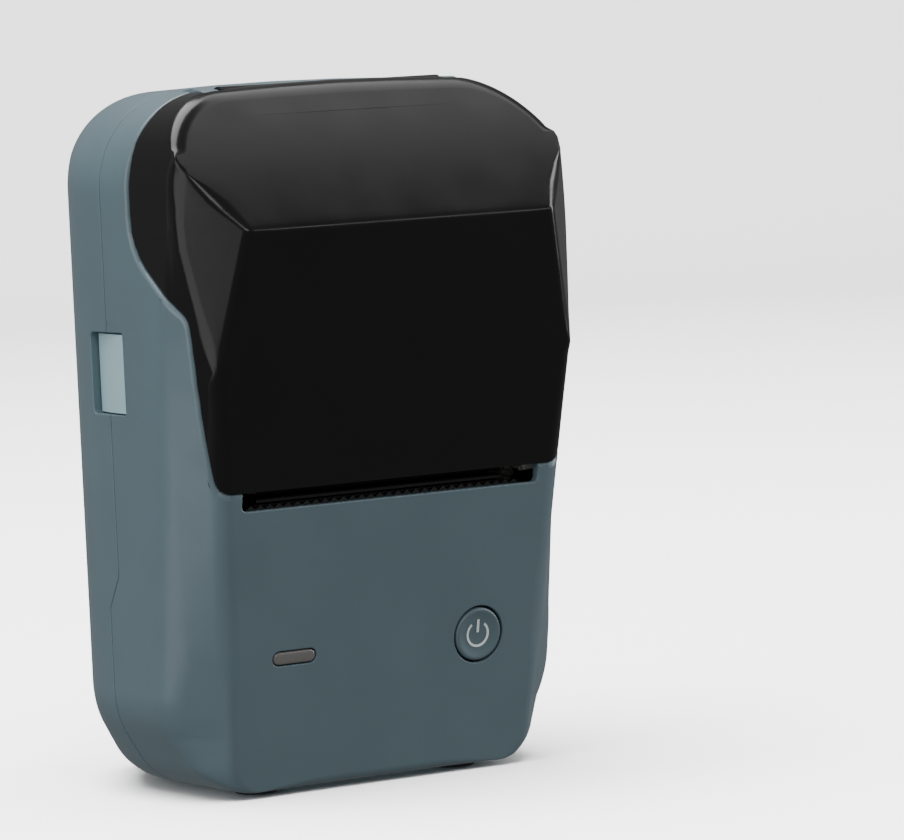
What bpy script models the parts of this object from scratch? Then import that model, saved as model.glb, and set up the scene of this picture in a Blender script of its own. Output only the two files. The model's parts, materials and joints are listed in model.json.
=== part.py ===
"""Thermal label printer, 86 x 77 x 131 mm, modelled standing on its feet.

Origin: middle of the footprint, on the table.  +X right, -Y front, +Z up.
Every length below is in millimetres; mesh_object() turns them into metres.
"""

from math import cos, hypot, pi, radians, sin

import bmesh
import bpy
import numpy as np
from mathutils import Matrix, Vector

MM = 0.001
GAP = 0.3                  # clearance between neighbouring pieces
WALL = 2.0                 # moulded wall thickness

# ---- case, seen from the front
HALF_W = 43.0
TOP_Z = 131.0
BASE_Z = 1.2               # underside of the case, above the table
TOP_R = 18.0               # rounding of the two top corners
CROWN = 0.6                # how much the middle of the top stands proud
SHOULDER_X = HALF_W - TOP_R
CORNER = (                 # bottom corner: X, Z, how far the face's edge lies inside it
    (43.0, 26.0, 8.8), (43.0, 15.5, 9.7), (36.6, 4.9, 3.8), (30.5, 1.2, 1.0), (22.0, 1.2, 0.0))

# ---- case, seen from the side
REAR_Y = 38.5
REAR_HALF_W = 24.0
REAR_MID = (36.5, 21.0)    # the sides draw in towards the rear
REAR_SIDE_Y = 8.0          # and start to do so here
CREASE_Y = -38.46
CREASE_Z = 105.3
CREASE_SOFT = 0.9          # half the height of the soft crease
LEAN = 0.161               # the front face leans back below the crease
SLANT = 0.74               # and the top facet leans back above it,
BOW = 0.0016               # a little more towards the top
PART_Y = -2.4              # parting plane between the shells
PART_LOW_Y = 1.2           # and its step back near the base
PART_STEP_Z = (41.5, 35.5)

# ---- front face outline, half widths
FACE_VERTEX = (38.8, 77.8)     # widest point
FACE_NARROW = 0.0885           # it narrows by this much per mm below
CREASE_HALF_W = 33.2
FACET_TOP = (41.2, 116.4)      # top corner of the side facet
FACET_BEND = (43.0, -28.5, 107.0)   # and the bend in its rear edge, X, Y, Z

# ---- cover opening, side view
LID_SHOULDER_Z = 102.0
LID_KNEE = (-28.8, 89.5)
LID_FOOT = (-29.7, 56.0)
HINGE_Y = -14.8
HINGE_Z = 128.3
BARREL_R = 2.6
HINGE_HALF = 24.0
PIN_R = 0.8

# ---- paper slot
SLOT_HALF_W = 32.5
SLOT_Z = 54.0

# ---- controls
BUTTON_X = 20.6
BUTTON_Z = 26.0
BUTTON_R = 5.0
LED_X = -20.1
LED_Z = 25.9
LED_HALF = (4.5, 1.15)
RELEASE_Y = (-8.1, 3.3)
RELEASE_Z = (71.9, 86.4)
RELEASE_SLOPE = 1.6        # the button's rear edge sits this much deeper

# ---- print mechanism
PLATEN = (-23.5, 60.6)         # axis, (Y, Z)
PLATEN_R = 4.5
PLATEN_HALF = 27.0
MODULE = 0.5
TEETH_PLATEN = 18
TEETH_IDLER = 28
TEETH_MOTOR = 12
GEAR_X = (33.0, 35.6)
MESH_SLACK = 0.18

# ---- label bay
ROLL = (3.5, 96.0)             # middle of a full roll, (Y, Z)
ROLL_R = 23.5
BAY_HALF = 30.4
TUB_HALF = 32.0
RACK_Z = (61.6, 64.2)
PINION_TEETH = 14
PINION_MODULE = 0.6


# ------------------------------------------------------------------ tools
def clear_scene():
    for item in list(bpy.data.objects):
        bpy.data.objects.remove(item, do_unlink=True)


def material(name, colour, roughness, metallic=0.0):
    found = bpy.data.materials.get(name)
    if found:
        return found
    made = bpy.data.materials.new(name)
    made.use_nodes = True
    shader = made.node_tree.nodes["Principled BSDF"]
    shader.inputs["Base Color"].default_value = (*colour, 1.0)
    shader.inputs["Roughness"].default_value = roughness
    shader.inputs["Metallic"].default_value = metallic
    return made


def paint(kind):
    kinds = {
        "slate": ((0.105, 0.150, 0.172), 0.45, 0.0),
        "black": ((0.012, 0.012, 0.013), 0.35, 0.0),
        "aqua": ((0.36, 0.50, 0.53), 0.4, 0.0),
        "frame": ((0.05, 0.05, 0.055), 0.6, 0.0),
        "gear": ((0.75, 0.74, 0.70), 0.5, 0.0),
        "rubber": ((0.02, 0.02, 0.02), 0.85, 0.0),
        "steel": ((0.62, 0.62, 0.63), 0.3, 1.0),
        "alloy": ((0.78, 0.79, 0.80), 0.35, 1.0),
        "ceramic": ((0.80, 0.78, 0.72), 0.3, 0.0),
        "board": ((0.02, 0.13, 0.06), 0.5, 0.0),
        "wrap": ((0.05, 0.12, 0.30), 0.4, 0.0),
        "smoke": ((0.16, 0.13, 0.12), 0.2, 0.0),
    }
    return material(kind, *kinds[kind])


def mesh_object(name, verts, faces, kind="frame", round_angle=None):
    mesh = bpy.data.meshes.new(name)
    mesh.from_pydata([Vector(v) * MM for v in verts], [], faces)
    work = bmesh.new()
    work.from_mesh(mesh)
    bmesh.ops.remove_doubles(work, verts=work.verts, dist=1e-7)
    bmesh.ops.recalc_face_normals(work, faces=work.faces)
    work.to_mesh(mesh)
    work.free()
    mesh.materials.append(paint(kind))
    made = bpy.data.objects.new(name, mesh)
    bpy.context.scene.collection.objects.link(made)
    if round_angle:
        mesh.shade_smooth()
        mesh.set_sharp_from_angle(angle=radians(round_angle))
    return made


def prism(name, outline, axis, low, high, kind="frame", round_angle=None):
    """Extrudes a closed outline along an axis.

    The outline's pairs are (Y, Z) along X, (X, Z) along Y and (X, Y) along Z.
    """
    place = {
        "x": lambda p, t: (t, p[0], p[1]),
        "y": lambda p, t: (p[0], t, p[1]),
        "z": lambda p, t: (p[0], p[1], t),
    }[axis]
    count = len(outline)
    verts = [place(p, t) for t in (low, high) for p in outline]
    faces = [tuple(range(count)), tuple(range(count, 2 * count))]
    for i in range(count):
        j = (i + 1) % count
        faces.append((i, j, count + j, count + i))
    return mesh_object(name, verts, faces, kind, round_angle)


def box(name, x, y, z, kind="frame"):
    outline = [(x[0], y[0]), (x[1], y[0]), (x[1], y[1]), (x[0], y[1])]
    return prism(name, outline, "z", z[0], z[1], kind)


def circle(centre, radius, sides, turn=0.0):
    steps = [turn + 2 * pi * i / sides for i in range(sides)]
    return [(centre[0] + radius * cos(t), centre[1] + radius * sin(t)) for t in steps]


def rod(name, centre, radius, axis, low, high, kind="steel", sides=24):
    return prism(name, circle(centre, radius, sides), axis, low, high, kind, 40)


def arc(centre, radius, start, end, steps):
    turns = [radians(start + (end - start) * i / steps) for i in range(steps + 1)]
    return [(centre[0] + radius * cos(t), centre[1] + radius * sin(t)) for t in turns]


def rounded(points, radii, steps=4):
    """A closed outline with each corner rounded by its own radius."""
    outline = []
    for i, (point, radius) in enumerate(zip(points, radii)):
        here = Vector(point)
        if not radius:
            outline.append(tuple(here))
            continue
        back = (Vector(points[i - 1]) - here).normalized()
        ahead = (Vector(points[(i + 1) % len(points)]) - here).normalized()
        half = back.angle(ahead) / 2
        reach = radius / np.tan(half)
        middle = here + (back + ahead).normalized() * radius / sin(half)
        first = here + back * reach - middle
        last = here + ahead * reach - middle
        sweep = first.angle_signed(last)
        for k in range(steps + 1):
            outline.append(tuple(middle + first @ Matrix.Rotation(sweep * k / steps, 2)))
    return outline


def bake(thing):
    """Applies an object's modifiers."""
    graph = bpy.context.evaluated_depsgraph_get()
    graph.update()
    done = bpy.data.meshes.new_from_object(thing.evaluated_get(graph))
    thing.modifiers.clear()
    thing.data = done


def combine(thing, other, how):
    step = thing.modifiers.new(how, "BOOLEAN")
    step.operation = how
    step.solver = "EXACT"
    step.object = other
    bake(thing)
    bpy.data.objects.remove(other, do_unlink=True)
    return thing


def cut(thing, *others):
    for other in others:
        combine(thing, other, "DIFFERENCE")
    return thing


def join(thing, *others):
    for other in others:
        combine(thing, other, "UNION")
    return thing


def keep(thing, other):
    return combine(thing, other, "INTERSECT")


def flatten(thing):
    """Splits every face that isn't flat."""
    work = bmesh.new()
    work.from_mesh(thing.data)
    bmesh.ops.remove_doubles(work, verts=work.verts, dist=2e-6)
    bmesh.ops.dissolve_degenerate(work, edges=work.edges, dist=2e-6)
    bmesh.ops.connect_verts_nonplanar(work, angle_limit=radians(0.05), faces=work.faces)
    work.to_mesh(thing.data)
    work.free()


def copy_of(thing, name):
    made = thing.copy()
    made.data = thing.data.copy()
    made.name = name
    bpy.context.scene.collection.objects.link(made)
    return made


def finish(thing, name, kind, round_angle=32):
    """Names a finished piece, cleans its mesh and gives it its material."""
    work = bmesh.new()
    work.from_mesh(thing.data)
    bmesh.ops.remove_doubles(work, verts=work.verts, dist=2e-6)
    bmesh.ops.dissolve_degenerate(work, edges=work.edges, dist=2e-6)
    bmesh.ops.dissolve_limit(
        work, angle_limit=radians(0.3), verts=work.verts, edges=work.edges)
    work.to_mesh(thing.data)
    work.free()
    thing.name = name
    thing.data.name = name
    thing.data.materials.clear()
    thing.data.materials.append(paint(kind))
    thing.data.shade_smooth()
    thing.data.set_sharp_from_angle(angle=radians(round_angle))
    return thing


def pivot(name, place):
    made = bpy.data.objects.new(name, None)
    made.location = Vector(place) * MM
    bpy.context.scene.collection.objects.link(made)
    return made


def hang(empty, *things):
    """Parents pieces, modelled in place, to the empty on their joint's axis."""
    bpy.context.view_layer.update()
    for thing in things:
        thing.parent = empty
        thing.matrix_parent_inverse = empty.matrix_world.inverted()


# ------------------------------------------------------------------ outer form
def front_y(z, soft=False):
    """Depth of the front at a height: the leaning face, the crease, the slanted facet."""
    over = z - CREASE_Z
    if soft and abs(over) < CREASE_SOFT:
        share = (over + CREASE_SOFT) / (2 * CREASE_SOFT)
        return CREASE_Y + CREASE_SOFT * (LEAN * (1 - share) ** 2 + SLANT * share ** 2)
    if over < 0:
        return CREASE_Y - LEAN * over
    return CREASE_Y + SLANT * over + BOW * over * over


def face_half_width(z):
    wide_x, wide_z = FACE_VERTEX
    if z <= wide_z:
        return wide_x - FACE_NARROW * (wide_z - z)
    share = (z - wide_z) / (CREASE_Z - wide_z)
    if share <= 1:
        return wide_x + (CREASE_HALF_W - wide_x) * share
    top_x, top_z = FACET_TOP
    share = (z - CREASE_Z) / (top_z - CREASE_Z)
    return CREASE_HALF_W + (top_x - CREASE_HALF_W) * share


def side_y(z):
    """Depth of the soft vertical edge between the side and the front chamfer."""
    heights = (30.0, 86.0, 104.0, 116.0)
    depths = (-18.0, -21.6, -26.1, -27.0)
    return float(np.interp(z, heights, depths))


def facet_back(z):
    """Rear edge of the cover's side facet, (X, Y), between its two ends."""
    low_x, low_z = FACE_VERTEX
    top_x, top_z = FACET_TOP
    heights = (low_z, FACET_BEND[2], top_z)
    across = (low_x, FACET_BEND[0], top_x)
    depth = (front_y(low_z), FACET_BEND[1], front_y(top_z))
    reach = max(0.0, min(5.0, z - low_z, top_z - z))
    nearby = (z - reach, z, z + reach)
    return (float(np.mean(np.interp(nearby, heights, across))),
            float(np.mean(np.interp(nearby, heights, depth))))


def soft_path(corners, reaches, steps):
    """A line through the corners, each one rounded; corners that coincide share a curve."""
    corners = [np.array(c, float) for c in corners]
    path = [corners[0]]
    i = 1
    while i < len(corners) - 1:
        last = i
        while last < len(corners) - 2 and np.linalg.norm(corners[last + 1] - corners[i]) < 1e-6:
            last += 1
        back, ahead = corners[i - 1] - corners[i], corners[last + 1] - corners[i]
        room = 0.45 * min(np.linalg.norm(back), np.linalg.norm(ahead))
        reach = min(max(reaches[i:last + 1]), room)
        first = corners[i] + back / np.linalg.norm(back) * reach
        final = corners[i] + ahead / np.linalg.norm(ahead) * reach
        count = (steps + 1) * (last - i + 1)
        for k in range(count):
            t = k / (count - 1)
            path.append((1 - t) ** 2 * first + 2 * t * (1 - t) * corners[i] + t * t * final)
        i = last + 1
    path.append(corners[-1])
    return path


def rib(x, z, side, facet, front, softness, steps):
    """One line over the case, from its rear face round to its front face."""
    mid_x, mid_y = REAR_MID
    high = max(0.0, z - (TOP_Z - 12.0))
    low = max(0.0, BASE_Z + 7.0 - z)
    rear = (x, REAR_SIDE_Y, z)
    middle = (x * mid_x / HALF_W, mid_y, z - 0.15 * high)
    cap = (x * REAR_HALF_W / HALF_W, REAR_Y, z - 0.75 * high + 0.75 * low)
    if not steps:
        return [cap, middle, rear, side, facet, front]
    lift = (96.0 - z) * min(max((z - 112.0) / 12.0, 0.0), 1.0)
    lift += (22.0 - z) * min(max((22.0 - z) / 14.0, 0.0), 1.0)
    inward = np.array((min(max(x, -8.0), 8.0) - x, lift))
    inward = inward / np.linalg.norm(inward) * 5.5
    rear_end = (cap[0] + inward[0], REAR_Y, cap[2] + inward[1])
    end_z = front[2] + inward[1]
    front_end = (front[0] + inward[0], front_y(end_z, soft=True), end_z)
    corners = (rear_end, cap, middle, rear, side, facet, front, front_end)
    return soft_path(corners, (0.0, 4.5, 6.0, 6.0, *softness, 0.0), steps)[1:]


def corner_path(steps):
    """Front view of a bottom corner, as (X, Z, how far the face's edge lies inside it)."""
    path = soft_path(CORNER, (0, 6.0, 5.0, 4.0, 0), steps)
    return path[1:-1]


def stations(steps, fine):
    """Half of the case as ribs, from the middle of the base up to the middle of the top."""
    found = []
    for x in (0.0, 16.0):
        edge = (x * 0.94, front_y(BASE_Z), BASE_Z)
        found.append(rib(x, BASE_Z, edge, edge, edge, (1.8, 1.8, 1.8), steps))
    for x, z, inset in reversed(corner_path(3 * fine)):
        edge = (x - inset, front_y(z), z)
        deep = (x, front_y(z) + min(8.0, inset * 1.1), z)
        found.append(rib(x, z, deep, edge, edge, (4.0, 1.3, 1.3), steps))
    heights = list(np.linspace(26.0, FACE_VERTEX[1], 4 * fine + 1))
    heights += list(np.linspace(FACE_VERTEX[1], CREASE_Z - CREASE_SOFT, 4 * fine + 1))[1:]
    heights += list(np.linspace(CREASE_Z - CREASE_SOFT, CREASE_Z + CREASE_SOFT, 5))[1:]
    heights += list(np.linspace(CREASE_Z + CREASE_SOFT, 112.4, 2 * fine + 1))[1:]
    for z in heights:
        front = (face_half_width(z), front_y(z), z)
        facet = front
        if z > FACE_VERTEX[1] + 0.01:
            back_x, back_y = facet_back(z)
            facet = (back_x, back_y, z)
        soft = (np.interp(z, (26.0, 60.0, 78.0, 95.0), (5.0, 3.0, 1.8, 2.0)),
                np.interp(z, (78.0, 90.0), (2.5, 1.2)),
                np.interp(z, (CREASE_Z, 110.0, 116.4), (1.3, 2.4, 1.0)))
        found.append(rib(HALF_W, z, (HALF_W, side_y(z), z), facet, front, soft, steps))
    top_z = FACET_TOP[1]
    middle_z = TOP_Z - CROWN - TOP_R
    count = 8 * fine
    for i in range(1, count + 1):
        turn = radians(90 * i / count)
        x = SHOULDER_X + TOP_R * cos(turn)
        z = middle_z + TOP_R * sin(turn)
        front = (min(face_half_width(z), x), front_y(z), z)
        side = (x, max(side_y(z), front_y(z)), z)
        facet = front
        if z < top_z:
            back_x, back_y = facet_back(z)
            facet = (min(back_x, x), max(back_y, front_y(z)), z)
        soft = (np.interp(z, (112.0, 124.0), (2.0, 5.5)), np.interp(z, (112.0, 116.4), (1.2, 0.8)),
                np.interp(z, (112.0, 116.4, 124.0), (2.0, 1.0, 5.5)))
        found.append(rib(x, z, side, facet, front, soft, steps))
    for x in (SHOULDER_X / 2, 0.0):
        z = TOP_Z - CROWN * (x / SHOULDER_X) ** 2
        edge = (x, front_y(z), z)
        found.append(rib(x, z, edge, edge, edge, (5.5, 5.5, 5.5), steps))
    return found


def case_cage(steps, fine):
    """The case's outer form, as vertices and faces in mm."""
    half = stations(steps, fine)
    left = [[(-x, y, z) for x, y, z in s] for s in reversed(half[1:-1])]
    loop = [list(s) for s in half] + left
    verts = []
    index = {}

    def vertex(p):
        key = tuple(round(float(c), 4) for c in p)
        if key not in index:
            index[key] = len(verts)
            verts.append(tuple(p))
        return index[key]

    def face_of(corners):
        return tuple(v for n, v in enumerate(corners) if v != corners[n - 1])

    rings = [[vertex(p) for p in s] for s in loop]
    count = len(rings)
    faces = []
    for i in range(count):
        here, after = rings[i], rings[(i + 1) % count]
        for k in range(len(here) - 1):
            face = face_of([here[k], here[k + 1], after[k + 1], after[k]])
            if len(face) > 2:
                faces.append(face)
    faces.append(face_of([r[0] for r in rings]))
    fronts = [r[-1] for r in rings]
    middle = len(half) - 1
    start = next(n for n, v in enumerate(fronts) if verts[v][2] > CREASE_Z - CREASE_SOFT - 0.01)
    faces.append(face_of(fronts[count - start:] + fronts[:start + 1]))
    for n in range(start, middle):
        faces.append(face_of([fronts[n], fronts[n + 1], fronts[count - n - 1],
                              fronts[count - n]]))
    return verts, faces


def case_form(name, soften=True, inset=0.0, steps=2, fine=1):
    verts, faces = case_cage(steps if soften else 0, fine)
    form = mesh_object(name, verts, faces, "slate")
    if inset:
        work = bmesh.new()
        work.from_mesh(form.data)
        moves = {}
        for v in work.verts:
            normals = np.array([f.normal[:] for f in v.link_faces])
            wanted = np.full(len(normals), -inset * MM)
            move = Vector(np.linalg.lstsq(normals, wanted, rcond=0.2)[0])
            move.length = min(move.length, 1.8 * inset * MM)
            moves[v] = move
        for v, move in moves.items():
            v.co += move
        work.to_mesh(form.data)
        work.free()
    flatten(form)
    return form


def lid_side_outline(grow):
    """Side view of the space that belongs to the cover, grown by a clearance.

    The cover's own rear edge is round about the hinge; the case's edge is upright.
    """
    radius = BARREL_R + grow
    above = TOP_Z + 6
    low = rounded([
        (-60.0, above),
        (-60.0, LID_FOOT[1] - grow),
        (LID_FOOT[0] + grow, LID_FOOT[1] - grow),
        (LID_KNEE[0] + grow, LID_KNEE[1] - grow * 0.5),
        (HINGE_Y + radius, LID_SHOULDER_Z - grow * 0.5),
        (HINGE_Y + radius, HINGE_Z),
    ], (0, 0, 4.0, 4.0, 12.0, 0))
    if grow:
        return low + [(HINGE_Y + radius, above)]
    last_turn = 70
    edge = arc((HINGE_Y, HINGE_Z), radius, 0, last_turn, 5)[1:]
    run = (above - edge[-1][1]) * np.tan(radians(last_turn))
    return low + edge + [(edge[-1][0] - run, above)]


def rear_side_outline(grow):
    high_z, low_z = PART_STEP_Z
    return [
        (PART_Y - grow, 150.0), (PART_Y - grow, high_z), (PART_LOW_Y - grow, low_z),
        (PART_LOW_Y - grow, -10.0), (60.0, -10.0), (60.0, 150.0),
    ]


def on_front(name, outline, depth, start=-3.0, kind="slate", round_angle=40):
    """A prism through the leaning front face, along its normal.

    The outline is (X, Z) on the face; depth and start are along the inward normal.
    """
    size = hypot(1, LEAN)
    inward = Vector((0, 1 / size, LEAN / size))
    verts = []
    for t in (start, depth):
        for x, z in outline:
            verts.append(Vector((x, front_y(z), z)) + inward * t)
    count = len(outline)
    faces = [tuple(range(count)), tuple(range(count, 2 * count))]
    for i in range(count):
        j = (i + 1) % count
        faces.append((i, j, count + j, count + i))
    return mesh_object(name, verts, faces, kind, round_angle)


def pill(centre, half, grow=0.0, steps=6):
    long, short = half[0] + grow, half[1] + grow
    x, z = centre
    reach = long - short
    return (arc((x + reach, z), short, -90, 90, steps)
            + arc((x - reach, z), short, 90, 270, steps))


# ------------------------------------------------------------------ case pieces
SCREWS = ((24.0, 124.3), (26.0, 9.2))
FEET = ((-22.0, -13.0), (22.0, -13.0), (-20.0, 15.0), (20.0, 15.0))
FOOT_R = 4.0
BOSS_R = 3.3
HEAD_R = 2.6
HEAD_Y = 7.0


def screw_places():
    return [(side * x, z) for x, z in SCREWS for side in (-1, 1)]


def release_hole(name, side, grow):
    y0, y1 = RELEASE_Y[0] - grow, RELEASE_Y[1] + grow
    z0, z1 = RELEASE_Z[0] - grow, RELEASE_Z[1] + grow
    outline = rounded([(y0, z0), (y1, z0), (y1, z1), (y0, z1)], (0.9,) * 4, 3)
    ends = sorted((side * 34.0, side * 50.0))
    return prism(name, outline, "x", *ends)


def make_shells():
    outer = case_form("outer")
    inner = case_form("inner", soften=False, inset=WALL)
    hollow = cut(copy_of(outer, "hollow"), inner)

    front = copy_of(hollow, "front")
    cut(front, prism("lid space", lid_side_outline(GAP), "x", -60, 60))
    cut(front, prism("rear space", rear_side_outline(GAP / 2), "x", -60, 60))
    slot = rounded(
        [(-SLOT_HALF_W, 60), (-SLOT_HALF_W, SLOT_Z), (SLOT_HALF_W, SLOT_Z), (SLOT_HALF_W, 60)],
        (0, 0.9, 0.9, 0), 3)
    cut(front, prism("slot", slot, "y", -45, -20))
    for side in (-1, 1):
        cut(front, release_hole("release", side, GAP))
    cut(front, on_front("hole", circle((BUTTON_X, BUTTON_Z), BUTTON_R + 0.4, 32), 6))
    cut(front, on_front("window", pill((LED_X, LED_Z), LED_HALF, 0.2), 6))
    for side in (-1, 1):
        lug_x = sorted((side * (HINGE_HALF + GAP), side * (HINGE_HALF + 4.0)))
        lug = [(-9.0, HINGE_Z - 2.1), *arc((HINGE_Y, HINGE_Z), 2.1, 270, 90, 8),
               (-9.0, HINGE_Z + 2.1)]
        join(front, prism("lug", lug, "x", *lug_x))
        cut(front, rod("pin hole", (HINGE_Y, HINGE_Z), PIN_R + 0.2, "x",
                       *sorted((side * 20, side * 40))))
    for x, z in screw_places():
        reach = -11.0 if z > 60 else -14.0
        back = PART_Y - GAP if z > 60 else PART_LOW_Y - GAP
        join(front, rod("boss", (x, z), BOSS_R, "y", reach, back, sides=20))
        foot = (z, TOP_Z - 1.2) if z > 60 else (BASE_Z + 0.7, z)
        join(front, box("rib", (x - 1, x + 1), (reach + 0.5, back - 0.5), foot))
        cut(front, rod("screw hole", (x, z), 1.45, "y", reach + 1.5, 10, sides=16))
    for x, y in FEET[:2]:
        cut(front, rod("foot pocket", (x, y), FOOT_R + GAP, "z", -2, BASE_Z + 0.8))
    finish(front, "front_shell", "slate")

    rear = keep(hollow, prism("rear space", rear_side_outline(-GAP / 2), "x", -60, 60))
    for side in (-1, 1):
        cut(rear, release_hole("release", side, GAP))
    for x, z in screw_places():
        start = PART_Y + GAP if z > 60 else PART_LOW_Y + GAP
        post = rod("post", (x, z), BOSS_R + 1.0, "y", start, REAR_Y + 2, sides=24)
        join(rear, keep(post, case_form("post limit", soften=False, inset=0.8)))
        cut(rear, rod("well", (x, z), HEAD_R + 0.5, "y", HEAD_Y, 60, sides=20))
        cut(rear, rod("screw hole", (x, z), 1.45, "y", -9, 60, sides=16))
    port = pill((0, 15.0), (5.2, 2.3))
    cut(rear, prism("port hole", port, "y", 30, 60))
    for x, y in FEET[2:]:
        cut(rear, rod("foot pocket", (x, y), FOOT_R + GAP, "z", -2, BASE_Z + 0.8))
    finish(rear, "rear_shell", "slate")
    return outer


def make_lid(outer):
    inner = case_form("inner lid", soften=False, inset=WALL)
    lid = cut(outer, inner)
    keep(lid, prism("lid zone", lid_side_outline(0.0), "x", -60, 60))
    join(lid, rod("barrel", (HINGE_Y, HINGE_Z), BARREL_R - 0.05, "x",
                  -HINGE_HALF, HINGE_HALF, sides=24))
    for side in (-1, 1):
        notch_x = sorted((side * HINGE_HALF, side * (HINGE_HALF + 4.4)))
        cut(lid, box("notch", notch_x, (HINGE_Y - 2.6, 0), (HINGE_Z - 5, TOP_Z + 2)))
        cut(lid, rod("pin hole", (HINGE_Y, HINGE_Z), PIN_R + 0.2, "x",
                     *sorted((side * 19, side * 30)), sides=16))
    return finish(lid, "lid_cover", "black")


def make_fasteners():
    for n, (x, z) in enumerate(screw_places(), 1):
        screw = rod("screw", (x, z), HEAD_R, "y", HEAD_Y + GAP, HEAD_Y + 2.0, sides=16)
        join(screw, rod("shank", (x, z), 1.1, "y", -8.0, HEAD_Y + 1.0, sides=10))
        finish(screw, f"case_screw_{n}", "steel")
    for n, (x, y) in enumerate(FEET, 1):
        foot = rod("foot", (x, y), FOOT_R, "z", 0.0, BASE_Z + 0.5, "rubber", 20)
        finish(foot, f"rubber_foot_{n}", "rubber")
    for side, name in ((-1, "left_hinge_pin"), (1, "right_hinge_pin")):
        ends = sorted((side * 19.4, side * 28.6))
        finish(rod(name, (HINGE_Y, HINGE_Z), PIN_R, "x", *ends, sides=12), name, "steel")


# ------------------------------------------------------------------ springs and gears
def coil(name, centre, radius, wire, turns, axis, low, high, per_turn=9, sides=5):
    """A compression spring: one closed tube wound round an axis."""
    verts = []
    total = turns * per_turn
    length = high - low
    for i in range(total + 1):
        turn = 2 * pi * i / per_turn
        along = low + wire + (length - 2 * wire) * i / total
        for k in range(sides):
            around = 2 * pi * k / sides
            out = radius + wire * cos(around)
            p = (centre[0] + out * cos(turn), centre[1] + out * sin(turn))
            t = along + wire * sin(around)
            verts.append((t, *p) if axis == "x" else (*p, t))
    faces = [tuple(range(sides)), tuple(range(total * sides, (total + 1) * sides))]
    for i in range(total):
        for k in range(sides):
            a, b = i * sides + k, i * sides + (k + 1) % sides
            faces.append((a, b, b + sides, a + sides))
    return finish(mesh_object(name, verts, faces, "steel"), name, "steel", 60)


def gear_outline(centre, teeth, module, phase):
    """Straight-sided gear teeth; phase is the angle of one tooth's middle, in degrees."""
    pitch_r = teeth * module / 2
    step = 2 * pi / teeth
    levels = ((-1.15, 0.34), (0.0, 0.205), (0.85, 0.10))
    outline = []
    for i in range(teeth):
        middle = radians(phase) + i * step
        left = [(pitch_r + h * module, middle - w * step) for h, w in levels]
        right = [(pitch_r + h * module, middle + w * step) for h, w in reversed(levels)]
        for r, t in left + right:
            outline.append((centre[0] + r * cos(t), centre[1] + r * sin(t)))
    return outline


def gear(name, centre, teeth, module, phase, axis, low, high, bore):
    made = prism(name, gear_outline(centre, teeth, module, phase), axis, low, high)
    cut(made, rod("bore", centre, bore, axis, low - 1, high + 1, sides=14))
    return finish(made, name, "gear", 25)


IDLER_TURN = -8.0              # direction from the platen to the idler, degrees
MOTOR_TURN = -60.0             # and from the idler to the motor


def mesh_distance(a, b):
    return (a + b) * MODULE / 2 + MESH_SLACK


def beside(centre, turn, distance):
    return (centre[0] + distance * cos(radians(turn)), centre[1] + distance * sin(radians(turn)))


IDLER = beside(PLATEN, IDLER_TURN, mesh_distance(TEETH_PLATEN, TEETH_IDLER))
MOTOR = beside(IDLER, MOTOR_TURN, mesh_distance(TEETH_IDLER, TEETH_MOTOR))


def make_drive():
    idler_step = 360 / TEETH_IDLER
    idler_phase = IDLER_TURN + 180 + idler_step / 2
    ahead = (idler_phase - MOTOR_TURN) % idler_step
    motor_space = MOTOR_TURN + 180 - ahead * TEETH_IDLER / TEETH_MOTOR
    motor_phase = motor_space + 180 / TEETH_MOTOR
    idler = gear("idler_gear", IDLER, TEETH_IDLER, MODULE, idler_phase, "x", *GEAR_X, 1.4)
    pinion = gear("motor_pinion", MOTOR, TEETH_MOTOR, MODULE, motor_phase, "x", *GEAR_X, 1.1)
    shaft = rod("motor_shaft", MOTOR, 0.8, "x", 30.3, 36.4, sides=12)
    finish(rod("idler_axle", IDLER, 1.1, "x", 32.1, 36.4, sides=12), "idler_axle", "steel")
    finish(shaft, "motor_shaft", "steel")
    body = rod("motor_body", MOTOR, 9.5, "x", 12.0, 30.0, "alloy", 28)
    finish(body, "motor_body", "alloy")
    plate = prism("gear_plate", rounded([(-16.5, 41.0), (3.5, 41.0), (3.5, 64.3), (-16.5, 64.3)],
                                        (2, 2, 2, 2), 3), "x", 30.6, 31.8)
    cut(plate, rod("shaft hole", MOTOR, 1.4, "x", 28, 34, sides=12))
    finish(plate, "gear_plate", "alloy")
    hang(pivot("idler_axis", (34.3, *IDLER)), idler)
    hang(pivot("motor_axis", (34.3, *MOTOR)), pinion, shaft)


# ------------------------------------------------------------------ cover mechanism
CHEEK_X = (28.2, 30.2)
CATCH_X = (36.0, 37.0)


def make_lid_frame():
    cheek = [(-28.2, 57.0), (-19.4, 57.0), (-19.4, 64.0), (-25.0, 75.0), (-30.6, 75.0)]
    beam = [(-30.1, 68.0), (-25.6, 68.0), (-26.6, 75.0), (-30.6, 75.0)]
    guard = [(-29.8, 72.0), (-28.2, 72.0), (-32.5, 100.0), (-34.1, 100.0)]
    frame = prism("frame", beam, "x", -CHEEK_X[0] - 0.5, CHEEK_X[0] + 0.5)
    join(frame, prism("guard", guard, "x", -27.5, 27.5))
    for side in (-1, 1):
        join(frame, prism("cheek", cheek, "x", *sorted((side * CHEEK_X[0], side * CHEEK_X[1]))))
        cut(frame, rod("bearing seat", PLATEN, 3.1, "x",
                       *sorted((side * 27, side * 32)), sides=18))
        arm_x = sorted((side * 27.0, side * CATCH_X[1]))
        join(frame, box("catch arm", arm_x, (-29.5, -27.9), (71.0, 74.5)))
        tab_x = sorted((side * CATCH_X[0], side * CATCH_X[1]))
        join(frame, box("catch tab", tab_x, (-29.0, -20.0), (71.5, 74.0)))
        nose_x = sorted((side * (CATCH_X[0] - 0.6), side * (CATCH_X[0] + 0.3)))
        join(frame, box("catch nose", nose_x, (-22.0, -20.5), (71.8, 73.7)))
    return finish(frame, "lid_frame", "frame")


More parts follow.
